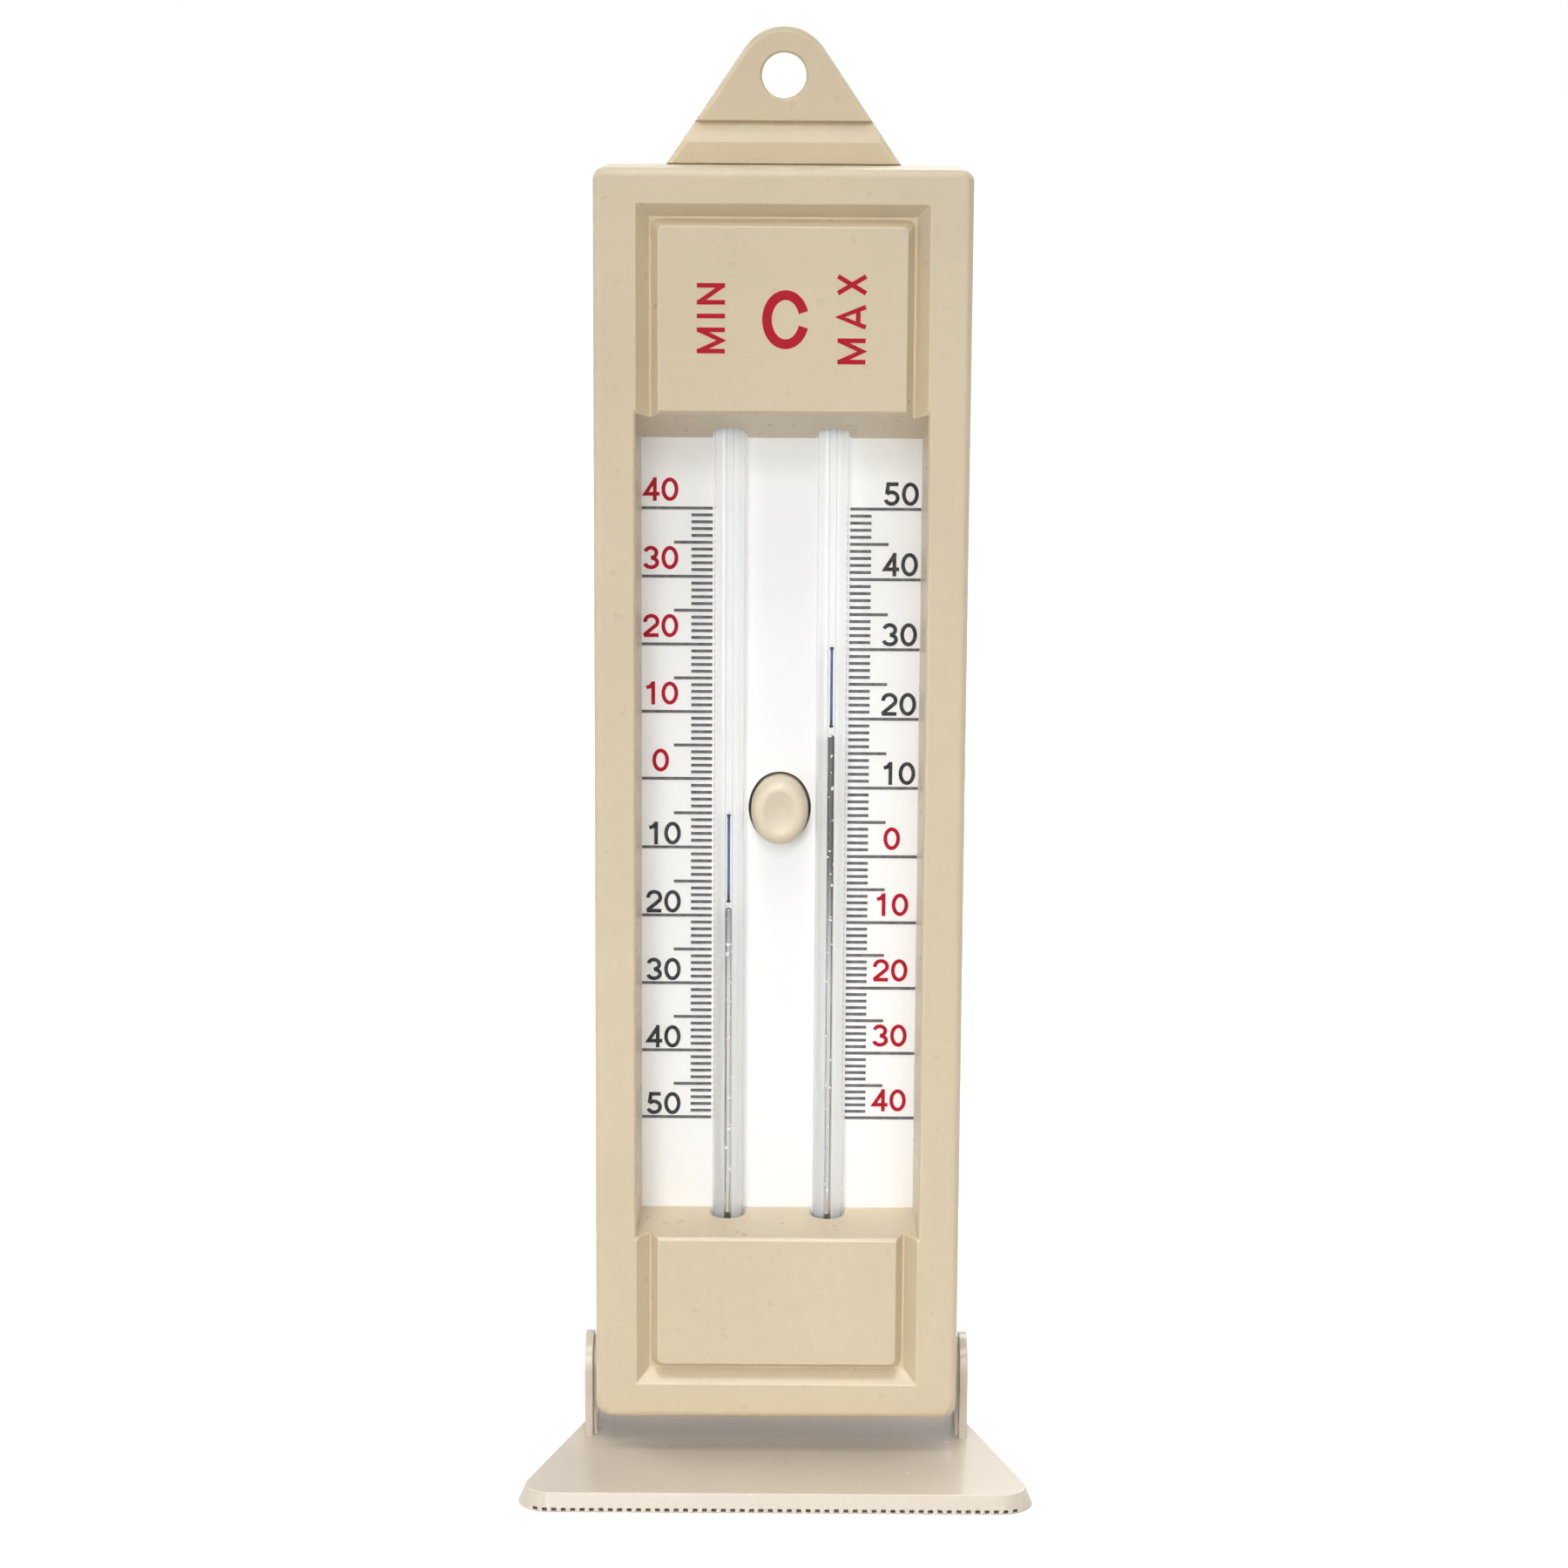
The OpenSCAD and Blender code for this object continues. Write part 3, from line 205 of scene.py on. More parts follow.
floor_half = 30.0
near_lift = 0.52
near_zone = 0.14
far_zone = 0.6
paper_scale = 30.0
paper_shade = (0.60, 0.60, 0.60, 1)
paper_white = (0.64, 0.64, 0.64, 1)
floor_mesh = bpy.data.meshes.new("floor")
corners = [(-floor_half, -floor_half, 0), (floor_half, -floor_half, 0)]
corners += [(floor_half, floor_half, 0), (-floor_half, floor_half, 0)]
floor_mesh.from_pydata(corners, [], [(0, 1, 2, 3)])
floor = bpy.data.objects.new("floor", floor_mesh)
bpy.context.scene.collection.objects.link(floor)

paper, paper_tree = new_material("white_paper")
paper_place = add_node(paper_tree, "TexCoord").outputs["Object"]
paper_inputs = {"Vector": paper_place, "Scale": paper_scale, "Detail": 3.0}
paper_grain = add_node(paper_tree, "TexNoise", paper_inputs).outputs[0]
paper_tone = blend_colours(paper_tree, paper_grain, paper_shade, paper_white)
paper_diffuse = add_node(paper_tree, "BsdfDiffuse", {"Color": paper_tone})
from_middle = add_node(paper_tree, "VectorMath", {0: paper_place}, operation="LENGTH").outputs["Value"]
lift = spread(paper_tree, from_middle, near_zone, far_zone, near_lift, 1.0)
paper_glow_strength = times(paper_tree, sees_background(paper_tree), lift)
paper_glow = add_node(paper_tree, "Emission", {"Strength": paper_glow_strength})
paper_sum = add_node(paper_tree, "AddShader", {0: paper_diffuse.outputs[0], 1: paper_glow.outputs[0]})
finish_with(paper_tree, paper_sum.outputs[0])
floor_mesh.materials.append(paper)
print("floor of", 2 * floor_half, "m, white from", far_zone, "m on")

# %% [markdown]
# ## Lamps
# The lower end of the case is lighter than its top, so three of the lamps are aimed at the foot and have a
# narrow beam that fades towards the hanging lug. One hangs high in front, which throws the shadow of the button
# straight down, one hangs nearly above for the slopes that face up, and one stands on the left, where it draws
# the soft grey edge of the window's wall. A weak lamp on the right opens that shadow a little, and a narrow
# upright lamp close by on the left puts the thin bright lines on the rounded edges. The lamps behind and at both
# sides light the other faces, and stand so high that no light passes under the case. `face_light` works out the
# power from the share of a full exposure that the lamp should give, so its place and size can change freely.

# %% Lamps
def face_light(name, place, target, size, share, beam=180):
    """A lamp that gives a surface facing it at target that share of a full exposure, in a beam of degrees."""
    data = bpy.data.lights.new(name, "AREA")
    data.shape = "RECTANGLE"
    data.size, data.size_y = size
    lamp = bpy.data.objects.new(name, data)
    bpy.context.scene.collection.objects.link(lamp)
    lamp.location = place
    aim = Vector(target) - Vector(place)
    lamp.rotation_mode = "QUATERNION"
    lamp.rotation_quaternion = aim.to_track_quat("-Z", "Y")
    half_beam = math.radians(beam) / 2
    focus = math.tan(half_beam) / (math.tan(half_beam) - half_beam)
    data.spread = 2 * half_beam
    data.energy = share * math.pi ** 2 * aim.length ** 2 / focus


case_middle = (0, 0, 0.11)
foot_middle = (0, 0, -0.01)
face_light("high_lamp", (-0.08, -1.10, 0.85), foot_middle, (0.5, 0.5), 0.51, beam=31)
face_light("top_lamp", (-0.05, -0.42, 1.25), foot_middle, (0.4, 0.4), 0.42, beam=31)
face_light("left_lamp", (-0.30, -1.25, 0.45), foot_middle, (0.4, 0.4), 0.35, beam=30)
face_light("right_lamp", (0.34, -1.20, 0.30), case_middle, (0.5, 0.5), 0.14)
face_light("edge_lamp", (-0.52, -0.42, 0.15), case_middle, (0.07, 0.34), 0.12)
face_light("rear_lamp", (0.40, 1.00, 0.90), case_middle, (0.8, 0.8), 0.42)
face_light("left_fill", (-0.90, 0.30, 0.75), case_middle, (0.5, 0.5), 0.24)
face_light("right_fill", (0.90, 0.30, 0.75), case_middle, (0.5, 0.5), 0.17)

bpy.context.scene.view_settings.view_transform = "Standard"

# %% [markdown]
# ## Moulded plastic
# The case, its cover, the button and the foot are injection moulded. Such a surface has several layers: a fine
# satin grain from the tool, slow changes of tone where the melt flowed, rounded edges that catch the light, outer
# edges painted paler as a painted highlight, corners painted darker as painted shade, and now and then a dark speck
# in the plastic. The Bevel node rounds the edges in the shading, and its difference from the true normal finds
# those edges. The Ambient Occlusion node tells an outer edge from an inner corner, and finds the corners that get
# the painted shade. A last mask paints the middle of a piece darker, as painted shade in the concave dish of the
# button.

# %% Moulded plastic
flow_scale = 22.0
flow_swing = 0.035
mottle_scale = 420.0
mottle_share = 0.22
mottle_factor = 0.86
wave_scale = 55.0
wave_depth = 0.06 * MM
grain_scale = 2600.0
grain_depth = 0.004 * MM
edge_range = (0.998, 0.9)
outer_range = (0.45, 0.75)
# Painted highlight: the next two values paint the outer edges paler, for the light that rounded edges catch.
edge_highlight_share = 0.9
edge_highlight_factor = 1.32
# Painted shade: the next two values paint corners darker, where Ambient Occlusion finds them closed in.
corner_shade_range = (0.5, 0.1)
corner_shade_factor = 0.55
# Painted shade: the next three values paint the middle of a piece darker, for the shade in the button's dish.
dish_shade_core = 0.14
dish_shade_rim = 0.34
dish_shade_factor = 0.8
speck_scale = 240.0
speck_r = 0.05
speck_fade = 0.062
speck_share = 0.75
speck_brown = linear(84, 70, 56)
no_specks = 2.0


def moulded_plastic(
    name, colour, roughness=0.3, edge_radius=0.4 * MM, specks=0.9, occlusion_reach=2.5 * MM, corner_shade_share=0.25, dish_shade=0.0
):
    """Satin plastic: grain, flow marks, specks, painted highlight on edges, painted shade in corners and middle."""
    material, tree = new_material(name)
    place = add_node(tree, "TexCoord").outputs["Object"]
    flow_inputs = {"Vector": place, "Scale": flow_scale, "Detail": 3.0, "Distortion": 0.6}
    flow = add_node(tree, "TexNoise", flow_inputs).outputs[0]
    flow_dark, flow_light = shaded(colour, 1 - flow_swing), shaded(colour, 1 + flow_swing)
    body = blend_colours(tree, spread(tree, flow, *noise_range), flow_dark, flow_light)
    mottle = add_node(tree, "TexNoise", {"Vector": place, "Scale": mottle_scale, "Detail": 4.0}).outputs[0]
    mottled = spread(tree, mottle, *patch_range, 0, mottle_share)
    body = blend_colours(tree, mottled, body, shaded(colour, mottle_factor))

    rounded = add_node(tree, "Bevel", {"Radius": edge_radius}, samples=6).outputs[0]
    true_normal = add_node(tree, "NewGeometry").outputs["Normal"]
    agreement = add_node(tree, "VectorMath", {0: rounded, 1: true_normal}, operation="DOT_PRODUCT").outputs["Value"]
    edge = spread(tree, agreement, *edge_range)
    open_sky = add_node(tree, "AmbientOcclusion", {"Distance": occlusion_reach}, samples=4).outputs["AO"]
    # Painted highlight: outer edges are painted paler, for the light that rounded edges catch.
    outer_edge_highlight = times(tree, edge, spread(tree, open_sky, *outer_range, 0, edge_highlight_share))
    body = blend_colours(tree, outer_edge_highlight, body, shaded(colour, edge_highlight_factor))
    # Painted shade: corners and closed-in places are painted darker.
    corner_shade = spread(tree, open_sky, *corner_shade_range, 0, corner_shade_share)
    body = blend_colours(tree, corner_shade, body, shaded(colour, corner_shade_factor))

    # Painted shade: the middle of the piece is painted darker, for the shade in the button's concave dish.
    box_place = add_node(tree, "TexCoord").outputs["Generated"]
    front_place = add_node(tree, "VectorMath", {0: box_place, 1: (1, 0, 1)}, operation="MULTIPLY").outputs[0]
    reach = add_node(tree, "VectorMath", {0: front_place, 1: (0.5, 0, 0.5)}, operation="DISTANCE").outputs["Value"]
    dish_shade_mask = spread(tree, reach, dish_shade_core, dish_shade_rim, dish_shade, 0)
    body = blend_colours(tree, dish_shade_mask, body, shaded(colour, dish_shade_factor))

    cells = add_node(tree, "TexVoronoi", {"Vector": place, "Scale": speck_scale})
    near_point = spread(tree, cells.outputs["Distance"], speck_fade, speck_r, 0, speck_share)
    chosen = add_node(tree, "Math", {0: cells.outputs["Color"], 1: specks}, operation="GREATER_THAN").outputs[0]
    body = blend_colours(tree, times(tree, near_point, chosen), body, speck_brown)

    grain = add_node(tree, "TexNoise", {"Vector": place, "Scale": grain_scale, "Detail": 2.0}).outputs[0]
    satin = add_node(tree, "Bump", {"Height": grain, "Distance": grain_depth, "Normal": rounded}).outputs[0]
    waves = add_node(tree, "TexNoise", {"Vector": place, "Scale": wave_scale, "Detail": 1.0}).outputs[0]
    soft_waves = add_node(tree, "Bump", {"Height": waves, "Distance": wave_depth, "Normal": satin})
    inputs = {
        "Base Color": body,
        "Roughness": spread(tree, mottle, 0.2, 0.8, roughness - 0.05, roughness + 0.07),
        "Specular IOR Level": 0.5,
        "Normal": soft_waves.outputs[0],
    }
    finish_with(tree, add_node(tree, "BsdfPrincipled", inputs).outputs[0])
    return material


case_plastic = moulded_plastic("case_plastic", linear(215, 199, 169))
print("case plastic made, with cells for its specks of", round(1 / speck_scale / MM, 1), "mm")

# %% [markdown]
# ## Painting the moulded parts
# The other plastics differ from that of the case in a few values only. The button is paler and has no specks.
# The foot is greyer and smoother, and its painted shade reaches far, so that the narrow space under the case
# is painted darker.
# The clamps and the carrier are inner parts, so they are duller. `paint` puts a material on pieces of the
# construction, whose shapes stay as they are.

# %% Painting the moulded parts
# Painted shade: the button's middle is painted darker, for the shade in its dish.
button_plastic = moulded_plastic(
    "button_plastic", linear(229, 216, 190), edge_radius=0.25 * MM, specks=no_specks, occlusion_reach=1 * MM, dish_shade=0.5
)
# Painted shade: the foot's painted shade reaches far, so the space under the case is painted darker.
foot_plastic = moulded_plastic(
    "foot_plastic", linear(213, 201, 185), roughness=0.22, specks=0.95, occlusion_reach=25 * MM, corner_shade_share=0.9
)
clamp_plastic = moulded_plastic("clamp_plastic", linear(214, 200, 170), roughness=0.45)
carrier_plastic = moulded_plastic("carrier_plastic", linear(92, 92, 96), roughness=0.45, specks=no_specks)


def paint(material, *names):
    """Gives a material to nodes of the construction, in place of what they came with."""
    for name in names:
        cad[name].data.materials.clear()
        cad[name].data.materials.append(material)


paint(case_plastic, "front_case", "rear_cover")
paint(button_plastic, "reset_button")
paint(foot_plastic, "foot")
paint(clamp_plastic, "upper_clamp", "lower_clamp")
paint(carrier_plastic, "magnet_carrier")
print("moulded parts painted")

# %% [markdown]
# ## Scale plate
# The plate is white sheet plastic, smoother and glossier than the case. It only needs a very weak change of
# tone, or it would look like paper, and a faint orange peel so that its highlight isn't perfectly even.

# %% Scale plate
cloud_scale = 35.0
cool_white = (0.96, 0.965, 0.97, 1)
warm_white = (0.985, 0.985, 0.98, 1)
peel_scale = 700.0
peel_depth = 0.005 * MM


def white_sheet(name):
    """Smooth white sheet plastic."""
    material, tree = new_material(name)
    place = add_node(tree, "TexCoord").outputs["Object"]
    cloud = add_node(tree, "TexNoise", {"Vector": place, "Scale": cloud_scale, "Detail": 3.0}).outputs[0]
    body = blend_colours(tree, spread(tree, cloud, *noise_range), cool_white, warm_white)
    peel = add_node(tree, "TexNoise", {"Vector": place, "Scale": peel_scale, "Detail": 1.0}).outputs[0]
    relief = add_node(tree, "Bump", {"Height": peel, "Distance": peel_depth})
    inputs = {
        "Base Color": body,
        "Roughness": spread(tree, cloud, *noise_range, 0.3, 0.4),
        "Normal": relief.outputs[0],
    }
    finish_with(tree, add_node(tree, "BsdfPrincipled", inputs).outputs[0])
    return material


paint(white_sheet("white_sheet"), "scale_plate")
print("plate painted")

# %% [markdown]
# ## Inks
# Screen printed ink is slightly uneven: thinner in places, with a faint mottle from the mesh of the screen. One
# function makes all three inks, the grey of the lines, the near black of the warm numbers and the red of the
# cold numbers and of the panel.

# %% Inks
screen_scale = 900.0


def screen_ink(name, colour, thin_colour, thinning):
    """Printed ink that is thinner in places, where the ground shows through as thin_colour."""
    material, tree = new_material(name)
    place = add_node(tree, "TexCoord").outputs["Object"]
    patch = add_node(tree, "TexNoise", {"Vector": place, "Scale": screen_scale, "Detail": 4.0}).outputs[0]
    body = blend_colours(tree, spread(tree, patch, *patch_range, 0, thinning), colour, thin_colour)
    inputs = {"Base Color": body, "Roughness": spread(tree, patch, *noise_range, 0.45, 0.6), "Specular IOR Level": 0.2}
    finish_with(tree, add_node(tree, "BsdfPrincipled", inputs).outputs[0])
    return material


line_ink = screen_ink("line_ink", linear(94, 92, 95), linear(150, 148, 150), 0.5)
black_ink = screen_ink("black_ink", linear(44, 44, 48), linear(110, 110, 114), 0.4)
red_ink = screen_ink("red_ink", linear(178, 8, 38), linear(192, 44, 62), 0.3)
paint(line_ink, "scale_marks")
print("inks:", line_ink.name, black_ink.name, red_ink.name)

# %% [markdown]
# ## Mercury and index pins
# Fresh mercury is nearly a mirror. Its colour is painted reflection: the thread is painted dark near its top and
# bright below, for the dark and bright surroundings that it mirrors, under a thin coat that keeps the gloss. A fine
# noise puts in a few light dots for gas that clings to the bore, painted white as its glints. The pins are steel in
# blue lacquer. When they were dipped, the lacquer ran to their ends, so the bead at each end is darker. The place
# along the pin picks the colour.

# %% Mercury
gas_scale = 1500.0
gas_range = (0.66, 0.7)
# Painted reflection: the next four values paint the thread dark near its top and bright below.
lit_below = 78 * MM
shaded_above = 100 * MM
lit_mercury = (0.66, 0.66, 0.67, 1)
shaded_mercury = (0.09, 0.09, 0.095, 1)
# Painted highlight: light dots for gas in the bore, painted white as its glints.
gas_glint_white = (0.85, 0.85, 0.85, 1)


def liquid_metal(name):
    """Mercury in a fine bore: painted reflection, dark near its top and bright below, and painted glints of gas."""
    material, tree = new_material(name)
    place = add_node(tree, "TexCoord").outputs["Object"]
    height = add_node(tree, "SeparateXYZ", {0: place}).outputs["Z"]
    film = add_node(tree, "TexNoise", {"Vector": place, "Scale": gas_scale, "Detail": 1.0}).outputs[0]
    # Painted highlight: a mask for the gas dots that are painted white as glints.
    gas_glint = spread(tree, film, *gas_range)
    # Painted reflection: the thread is painted dark near its top and bright below, for the surroundings it mirrors.
    top_shade = spread(tree, height, lit_below, shaded_above)
    body = blend_colours(tree, top_shade, lit_mercury, shaded_mercury)
    inputs = {
        "Base Color": blend_colours(tree, gas_glint, body, gas_glint_white),
        "Metallic": spread(tree, gas_glint, 0, 1, 1, 0),
        "Roughness": spread(tree, gas_glint, 0, 1, 0.08, 0.5),
        "Coat Weight": 1.0,
        "Coat Roughness": 0.12,
    }
    finish_with(tree, add_node(tree, "BsdfPrincipled", inputs).outputs[0])
    return material


paint(liquid_metal("mercury"), "mercury_thread")
# Painted reflection: the height from which the top of the thread is painted dark.
print("mercury painted, dull from", round(shaded_above / MM), "mm up")

# %% Index pins
lower_bead = (0.11, 0.085)
upper_bead = (0.93, 0.95)
lacquer_scale = 700.0
thin_lacquer = linear(72, 92, 160)
thick_lacquer = linear(44, 62, 140)
lacquer_drop = linear(10, 6, 52)


def lacquered_pin(name):
    """Steel wire in blue lacquer, which gathers to a darker drop on the bead at each end."""
    material, tree = new_material(name)
    coords = add_node(tree, "TexCoord")
    share = add_node(tree, "SeparateXYZ", {0: coords.outputs["Generated"]}).outputs["Z"]
    foot_drop = spread(tree, share, *lower_bead)
    head_drop = spread(tree, share, *upper_bead, 0, 0.8)
    drop = add_node(tree, "Math", {0: foot_drop, 1: head_drop}, operation="MAXIMUM").outputs[0]
    patch_inputs = {"Vector": coords.outputs["Object"], "Scale": lacquer_scale, "Detail": 2.0}
    patch = add_node(tree, "TexNoise", patch_inputs).outputs[0]
    blue = blend_colours(tree, spread(tree, patch, *noise_range), thick_lacquer, thin_lacquer)
    inputs = {
        "Base Color": blend_colours(tree, drop, blue, lacquer_drop),
        "Metallic": spread(tree, drop, 0, 1, 0.35, 0.0),
        "Roughness": spread(tree, patch, *noise_range, 0.3, 0.4),
        "Specular IOR Level": 0.25,
    }
    finish_with(tree, add_node(tree, "BsdfPrincipled", inputs).outputs[0])
    return material


paint(lacquered_pin("blued_steel"), "min_index", "max_index")
print("pins painted")

# %% [markdown]
# ## Metals, foam and ferrite
# The screws and the spring are bright zinc, with the fine marks that drawing and turning leave. Ambient
# Occlusion finds the recesses of the screws, which are painted dark as painted shade, because they would vanish
# in the bright metal otherwise. The magnets are dull ferrite, and the pad behind the bulb is open foam. Both have
# a rough, pitted surface, painted darker in the pits and lighter on the ridges as painted shade and light, so one
# function with a different scale of cells serves for the two of them.

# %% Metals, foam and ferrite
streak_stretch = (60.0, 60.0, 1.0)
streak_scale = 40.0
streak_depth = 0.001 * MM
streak_dark = 0.85
streak_light = 1.1
# Painted shade: the next values paint the recesses of the screws dark.
recess_reach = 1.5 * MM
recess_range = (0.85, 0.4)
recess_share = 0.85
recess_shade_factor = 0.15
# Painted shade and light: pits are painted darker and ridges lighter.
pit_range = (0.1, 0.7)
pit_shade_factor = 0.6
ridge_light_factor = 1.2


def metal(name, colour, roughness):
    """A metal with fine streaks, as drawn wire and turned screws have, and recesses painted dark as painted shade."""
    material, tree = new_material(name)
    place = add_node(tree, "TexCoord").outputs["Object"]
    stretched = add_node(tree, "Mapping", {"Vector": place, "Scale": streak_stretch}).outputs[0]
    lines = add_node(tree, "TexNoise", {"Vector": stretched, "Scale": streak_scale, "Detail": 3.0}).outputs[0]
    body = blend_colours(tree, lines, shaded(colour, streak_dark), shaded(colour, streak_light))
    open_sky = add_node(tree, "AmbientOcclusion", {"Distance": recess_reach}, samples=4).outputs["AO"]
    # Painted shade: recesses are painted dark.
    recess_shade = spread(tree, open_sky, *recess_range, 0, recess_share)
    body = blend_colours(tree, recess_shade, body, shaded(colour, recess_shade_factor))
    fine = add_node(tree, "Bump", {"Height": lines, "Distance": streak_depth})
    inputs = {
        "Base Color": body,
        "Metallic": 1.0,
        "Roughness": spread(tree, lines, *noise_range, roughness * 0.8, roughness * 1.2),
        "Normal": fine.outputs[0],
    }
    finish_with(tree, add_node(tree, "BsdfPrincipled", inputs).outputs[0])
    return material


def dull_solid(name, colour, cell_scale, cell_depth, roughness):
    """A porous or ground solid: pits or cells in the bump, painted darker inside as shade and lighter on ridges."""
    material, tree = new_material(name)
    place = add_node(tree, "TexCoord").outputs["Object"]
    cells = add_node(tree, "TexVoronoi", {"Vector": place, "Scale": cell_scale}).outputs["Distance"]
    # Painted shade and light: pits are painted darker and ridges lighter.
    ridge = spread(tree, cells, *pit_range)
    body = blend_colours(tree, ridge, shaded(colour, pit_shade_factor), shaded(colour, ridge_light_factor))
    pits = add_node(tree, "Bump", {"Height": cells, "Distance": cell_depth})
    inputs = {"Base Color": body, "Roughness": roughness, "Normal": pits.outputs[0]}
    finish_with(tree, add_node(tree, "BsdfPrincipled", inputs).outputs[0])
    return material


bright_steel = metal("bright_steel", (0.46, 0.46, 0.48, 1), 0.3)
paint(bright_steel, "button_screw", "clamp_screws", "plate_screws", "cover_screws")
ferrite = dull_solid("ferrite", linear(58, 58, 62), cell_scale=900.0, cell_depth=0.02 * MM, roughness=0.7)
paint(ferrite, "magnet_left", "magnet_right")
grey_foam = dull_solid("grey_foam", linear(70, 70, 74), cell_scale=1100.0, cell_depth=0.2 * MM, roughness=0.95)
print("metals, foam and ferrite painted")

# %% [markdown]
# ## Glass and the liquid in it
# The tube is thick drawn glass with a hair bore. Thick glass acts as a lens, so the thread and the pins look
# wider than they are. For that the surface inside needs its own material: there the light passes from glass
# into a liquid that bends it almost as much, so the ratio of the two is only a little above 1. Rays that look
# for a lamp pass straight through, slightly dimmed, because real glass doesn't darken the plate behind it.

# %% Glass and liquid
edge_begins = 0.55
edge_full = 0.97


def clear_material(name, ratio, tint, edge_shade_tint, shadow_tint):
    """Clear material bending light by that ratio, its edges painted darker as shade; it lets shadow rays pass."""
    material, tree = new_material(name)
    # Painted shade: the colour is darker where the surface is seen edge on, for the dark edges of thick glass.
    grazing = add_node(tree, "LayerWeight", {"Blend": 0.5}).outputs["Facing"]
    colour = blend_colours(tree, spread(tree, grazing, edge_begins, edge_full), tint, edge_shade_tint)
    inputs = {"Base Color": colour, "Roughness": 0.0, "IOR": ratio, "Transmission Weight": 1.0}
    body = add_node(tree, "BsdfPrincipled", inputs).outputs[0]
    see_through = add_node(tree, "BsdfTransparent", {"Color": shadow_tint}).outputs[0]
    shadow_ray = add_node(tree, "LightPath").outputs["Is Shadow Ray"]
    finish_with(tree, add_node(tree, "MixShader", {0: shadow_ray, 1: body, 2: see_through}).outputs[0])
    return material


glass_ratio = 1.49
spirit_ratio = 1.37
clear = (1, 1, 1, 1)
glass_tint = (0.83, 0.835, 0.825, 1)
# Painted shade: the edge colours darken the glass, the bore and the spirit where they are seen edge on.
glass_edge_shade = (0.4, 0.4, 0.4, 1)
glass_shadow = (0.97, 0.975, 0.97, 1)
bore_edge_shade = (0.8, 0.8, 0.8, 1)
spirit_edge_shade = (0.97, 0.97, 0.97, 1)
drawn_glass = clear_material("drawn_glass", glass_ratio, glass_tint, glass_edge_shade, glass_shadow)
bore_wall = clear_material("bore_wall", glass_ratio / spirit_ratio, clear, bore_edge_shade, clear)
spirit = clear_material("clear_spirit", spirit_ratio / glass_ratio, clear, spirit_edge_shade, clear)
paint(spirit, "bulb_liquid")
print("glass bends light by", glass_ratio, "and its bore wall by", round(glass_ratio / spirit_ratio, 3))

# %% [markdown]
# ## The glass tube
# A glass blower bends one length of tube into a U, blows the large bulb at one end and the small one at the
# other, and seals both tips. The same order makes a good mesh: a list of stations along the bent axis, each
# with a centre, a direction and a radius, and a skin stretched over a ring at each station. The outside and
# the bore are two such skins in one mesh, with their own materials.

# %% The path of the tube
stem_r = 2.4 * MM
bore_r = 0.4 * MM
thread_r = 0.38 * MM
limb_x = thread_high.x - thread_r
axis_y = (thread_low.y + thread_high.y) / 2
bend_z = tube_bottom + stem_r + limb_x
bulb_low, bulb_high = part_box("bulb_liquid")
bulb_wall = 0.72 * MM
small_bulb_h = 17 * MM
bulb_z = bulb_low.z - bulb_wall
main_bulb = {"x": -limb_x, "r": 4.6 * MM, "top": bulb_high.z + bulb_wall}
small_bulb = {"x": limb_x, "r": 3.2 * MM, "top": bulb_z + small_bulb_h}
end_zone = 0.3 * MM


def bend_stations(radius, steps=28):
    """Stations round the half circle at the bottom, from the left limb to the right one."""
    stations = [(Vector((-limb_x, axis_y, bend_z + end_zone)), Vector((0, 0, -1)), radius)]
    for i in range(steps + 1):
        angle = math.pi + math.pi * i / steps
        centre = Vector((limb_x * math.cos(angle), axis_y, bend_z + limb_x * math.sin(angle)))
        direction = Vector((-math.sin(angle), 0, math.cos(angle)))
        stations.append((centre, direction, radius))
    stations.append((Vector((limb_x, axis_y, bend_z + end_zone)), Vector((0, 0, 1)), radius))
    return stations


def bulb_outline(bulb, bulb_r, low, top, stem, tip, steps=9):
    """Stations up one limb: the stem, a round shoulder, the bulb and its round top."""
    outline = [(low - end_zone, stem)]
    shoulder = math.asin(stem / bulb_r)
    for i in range(steps + 1):
        angle = shoulder + (math.pi / 2 - shoulder) * i / steps
        outline.append((low + bulb_r * (1 - math.cos(angle)), bulb_r * math.sin(angle)))
    closing = math.asin(tip / bulb_r)
    for i in range(steps + 1):
        angle = math.pi / 2 - (math.pi / 2 - closing) * i / steps
        outline.append((top - bulb_r * (1 - math.cos(angle)), bulb_r * math.sin(angle)))
    return [(Vector((bulb["x"], axis_y, z)), Vector((0, 0, 1)), r) for z, r in outline]


print("limbs at x", round(limb_x / MM, 2), "mm, bend at z", round(bend_z / MM, 2), "mm")

# %% The tips of the bulbs
tip_r = 1.0 * MM
tip_l = 2.0 * MM


def tip_stations(bulb):
    """The sealed tip above a bulb: a short cone with a round end."""
    rows = [(0.15, 0.85), (0.75, 0.62), (0.93, 0.42), (1.0, 0.12)]
    heights = [(bulb["top"] + tip_l * share, tip_r * width) for share, width in rows]
    return [(Vector((bulb["x"], axis_y, z)), Vector((0, 0, 1)), r) for z, r in heights]


def down_and_up(left_limb, bend, right_limb):
    """One run of stations: down the left limb, round the bend and up the right limb."""
    down = [(centre, -direction, radius) for centre, direction, radius in reversed(left_limb)]
    return down + bend + right_limb


print("tips end at z", [round((bulb["top"] + tip_l) / MM, 2) for bulb in (main_bulb, small_bulb)], "mm")

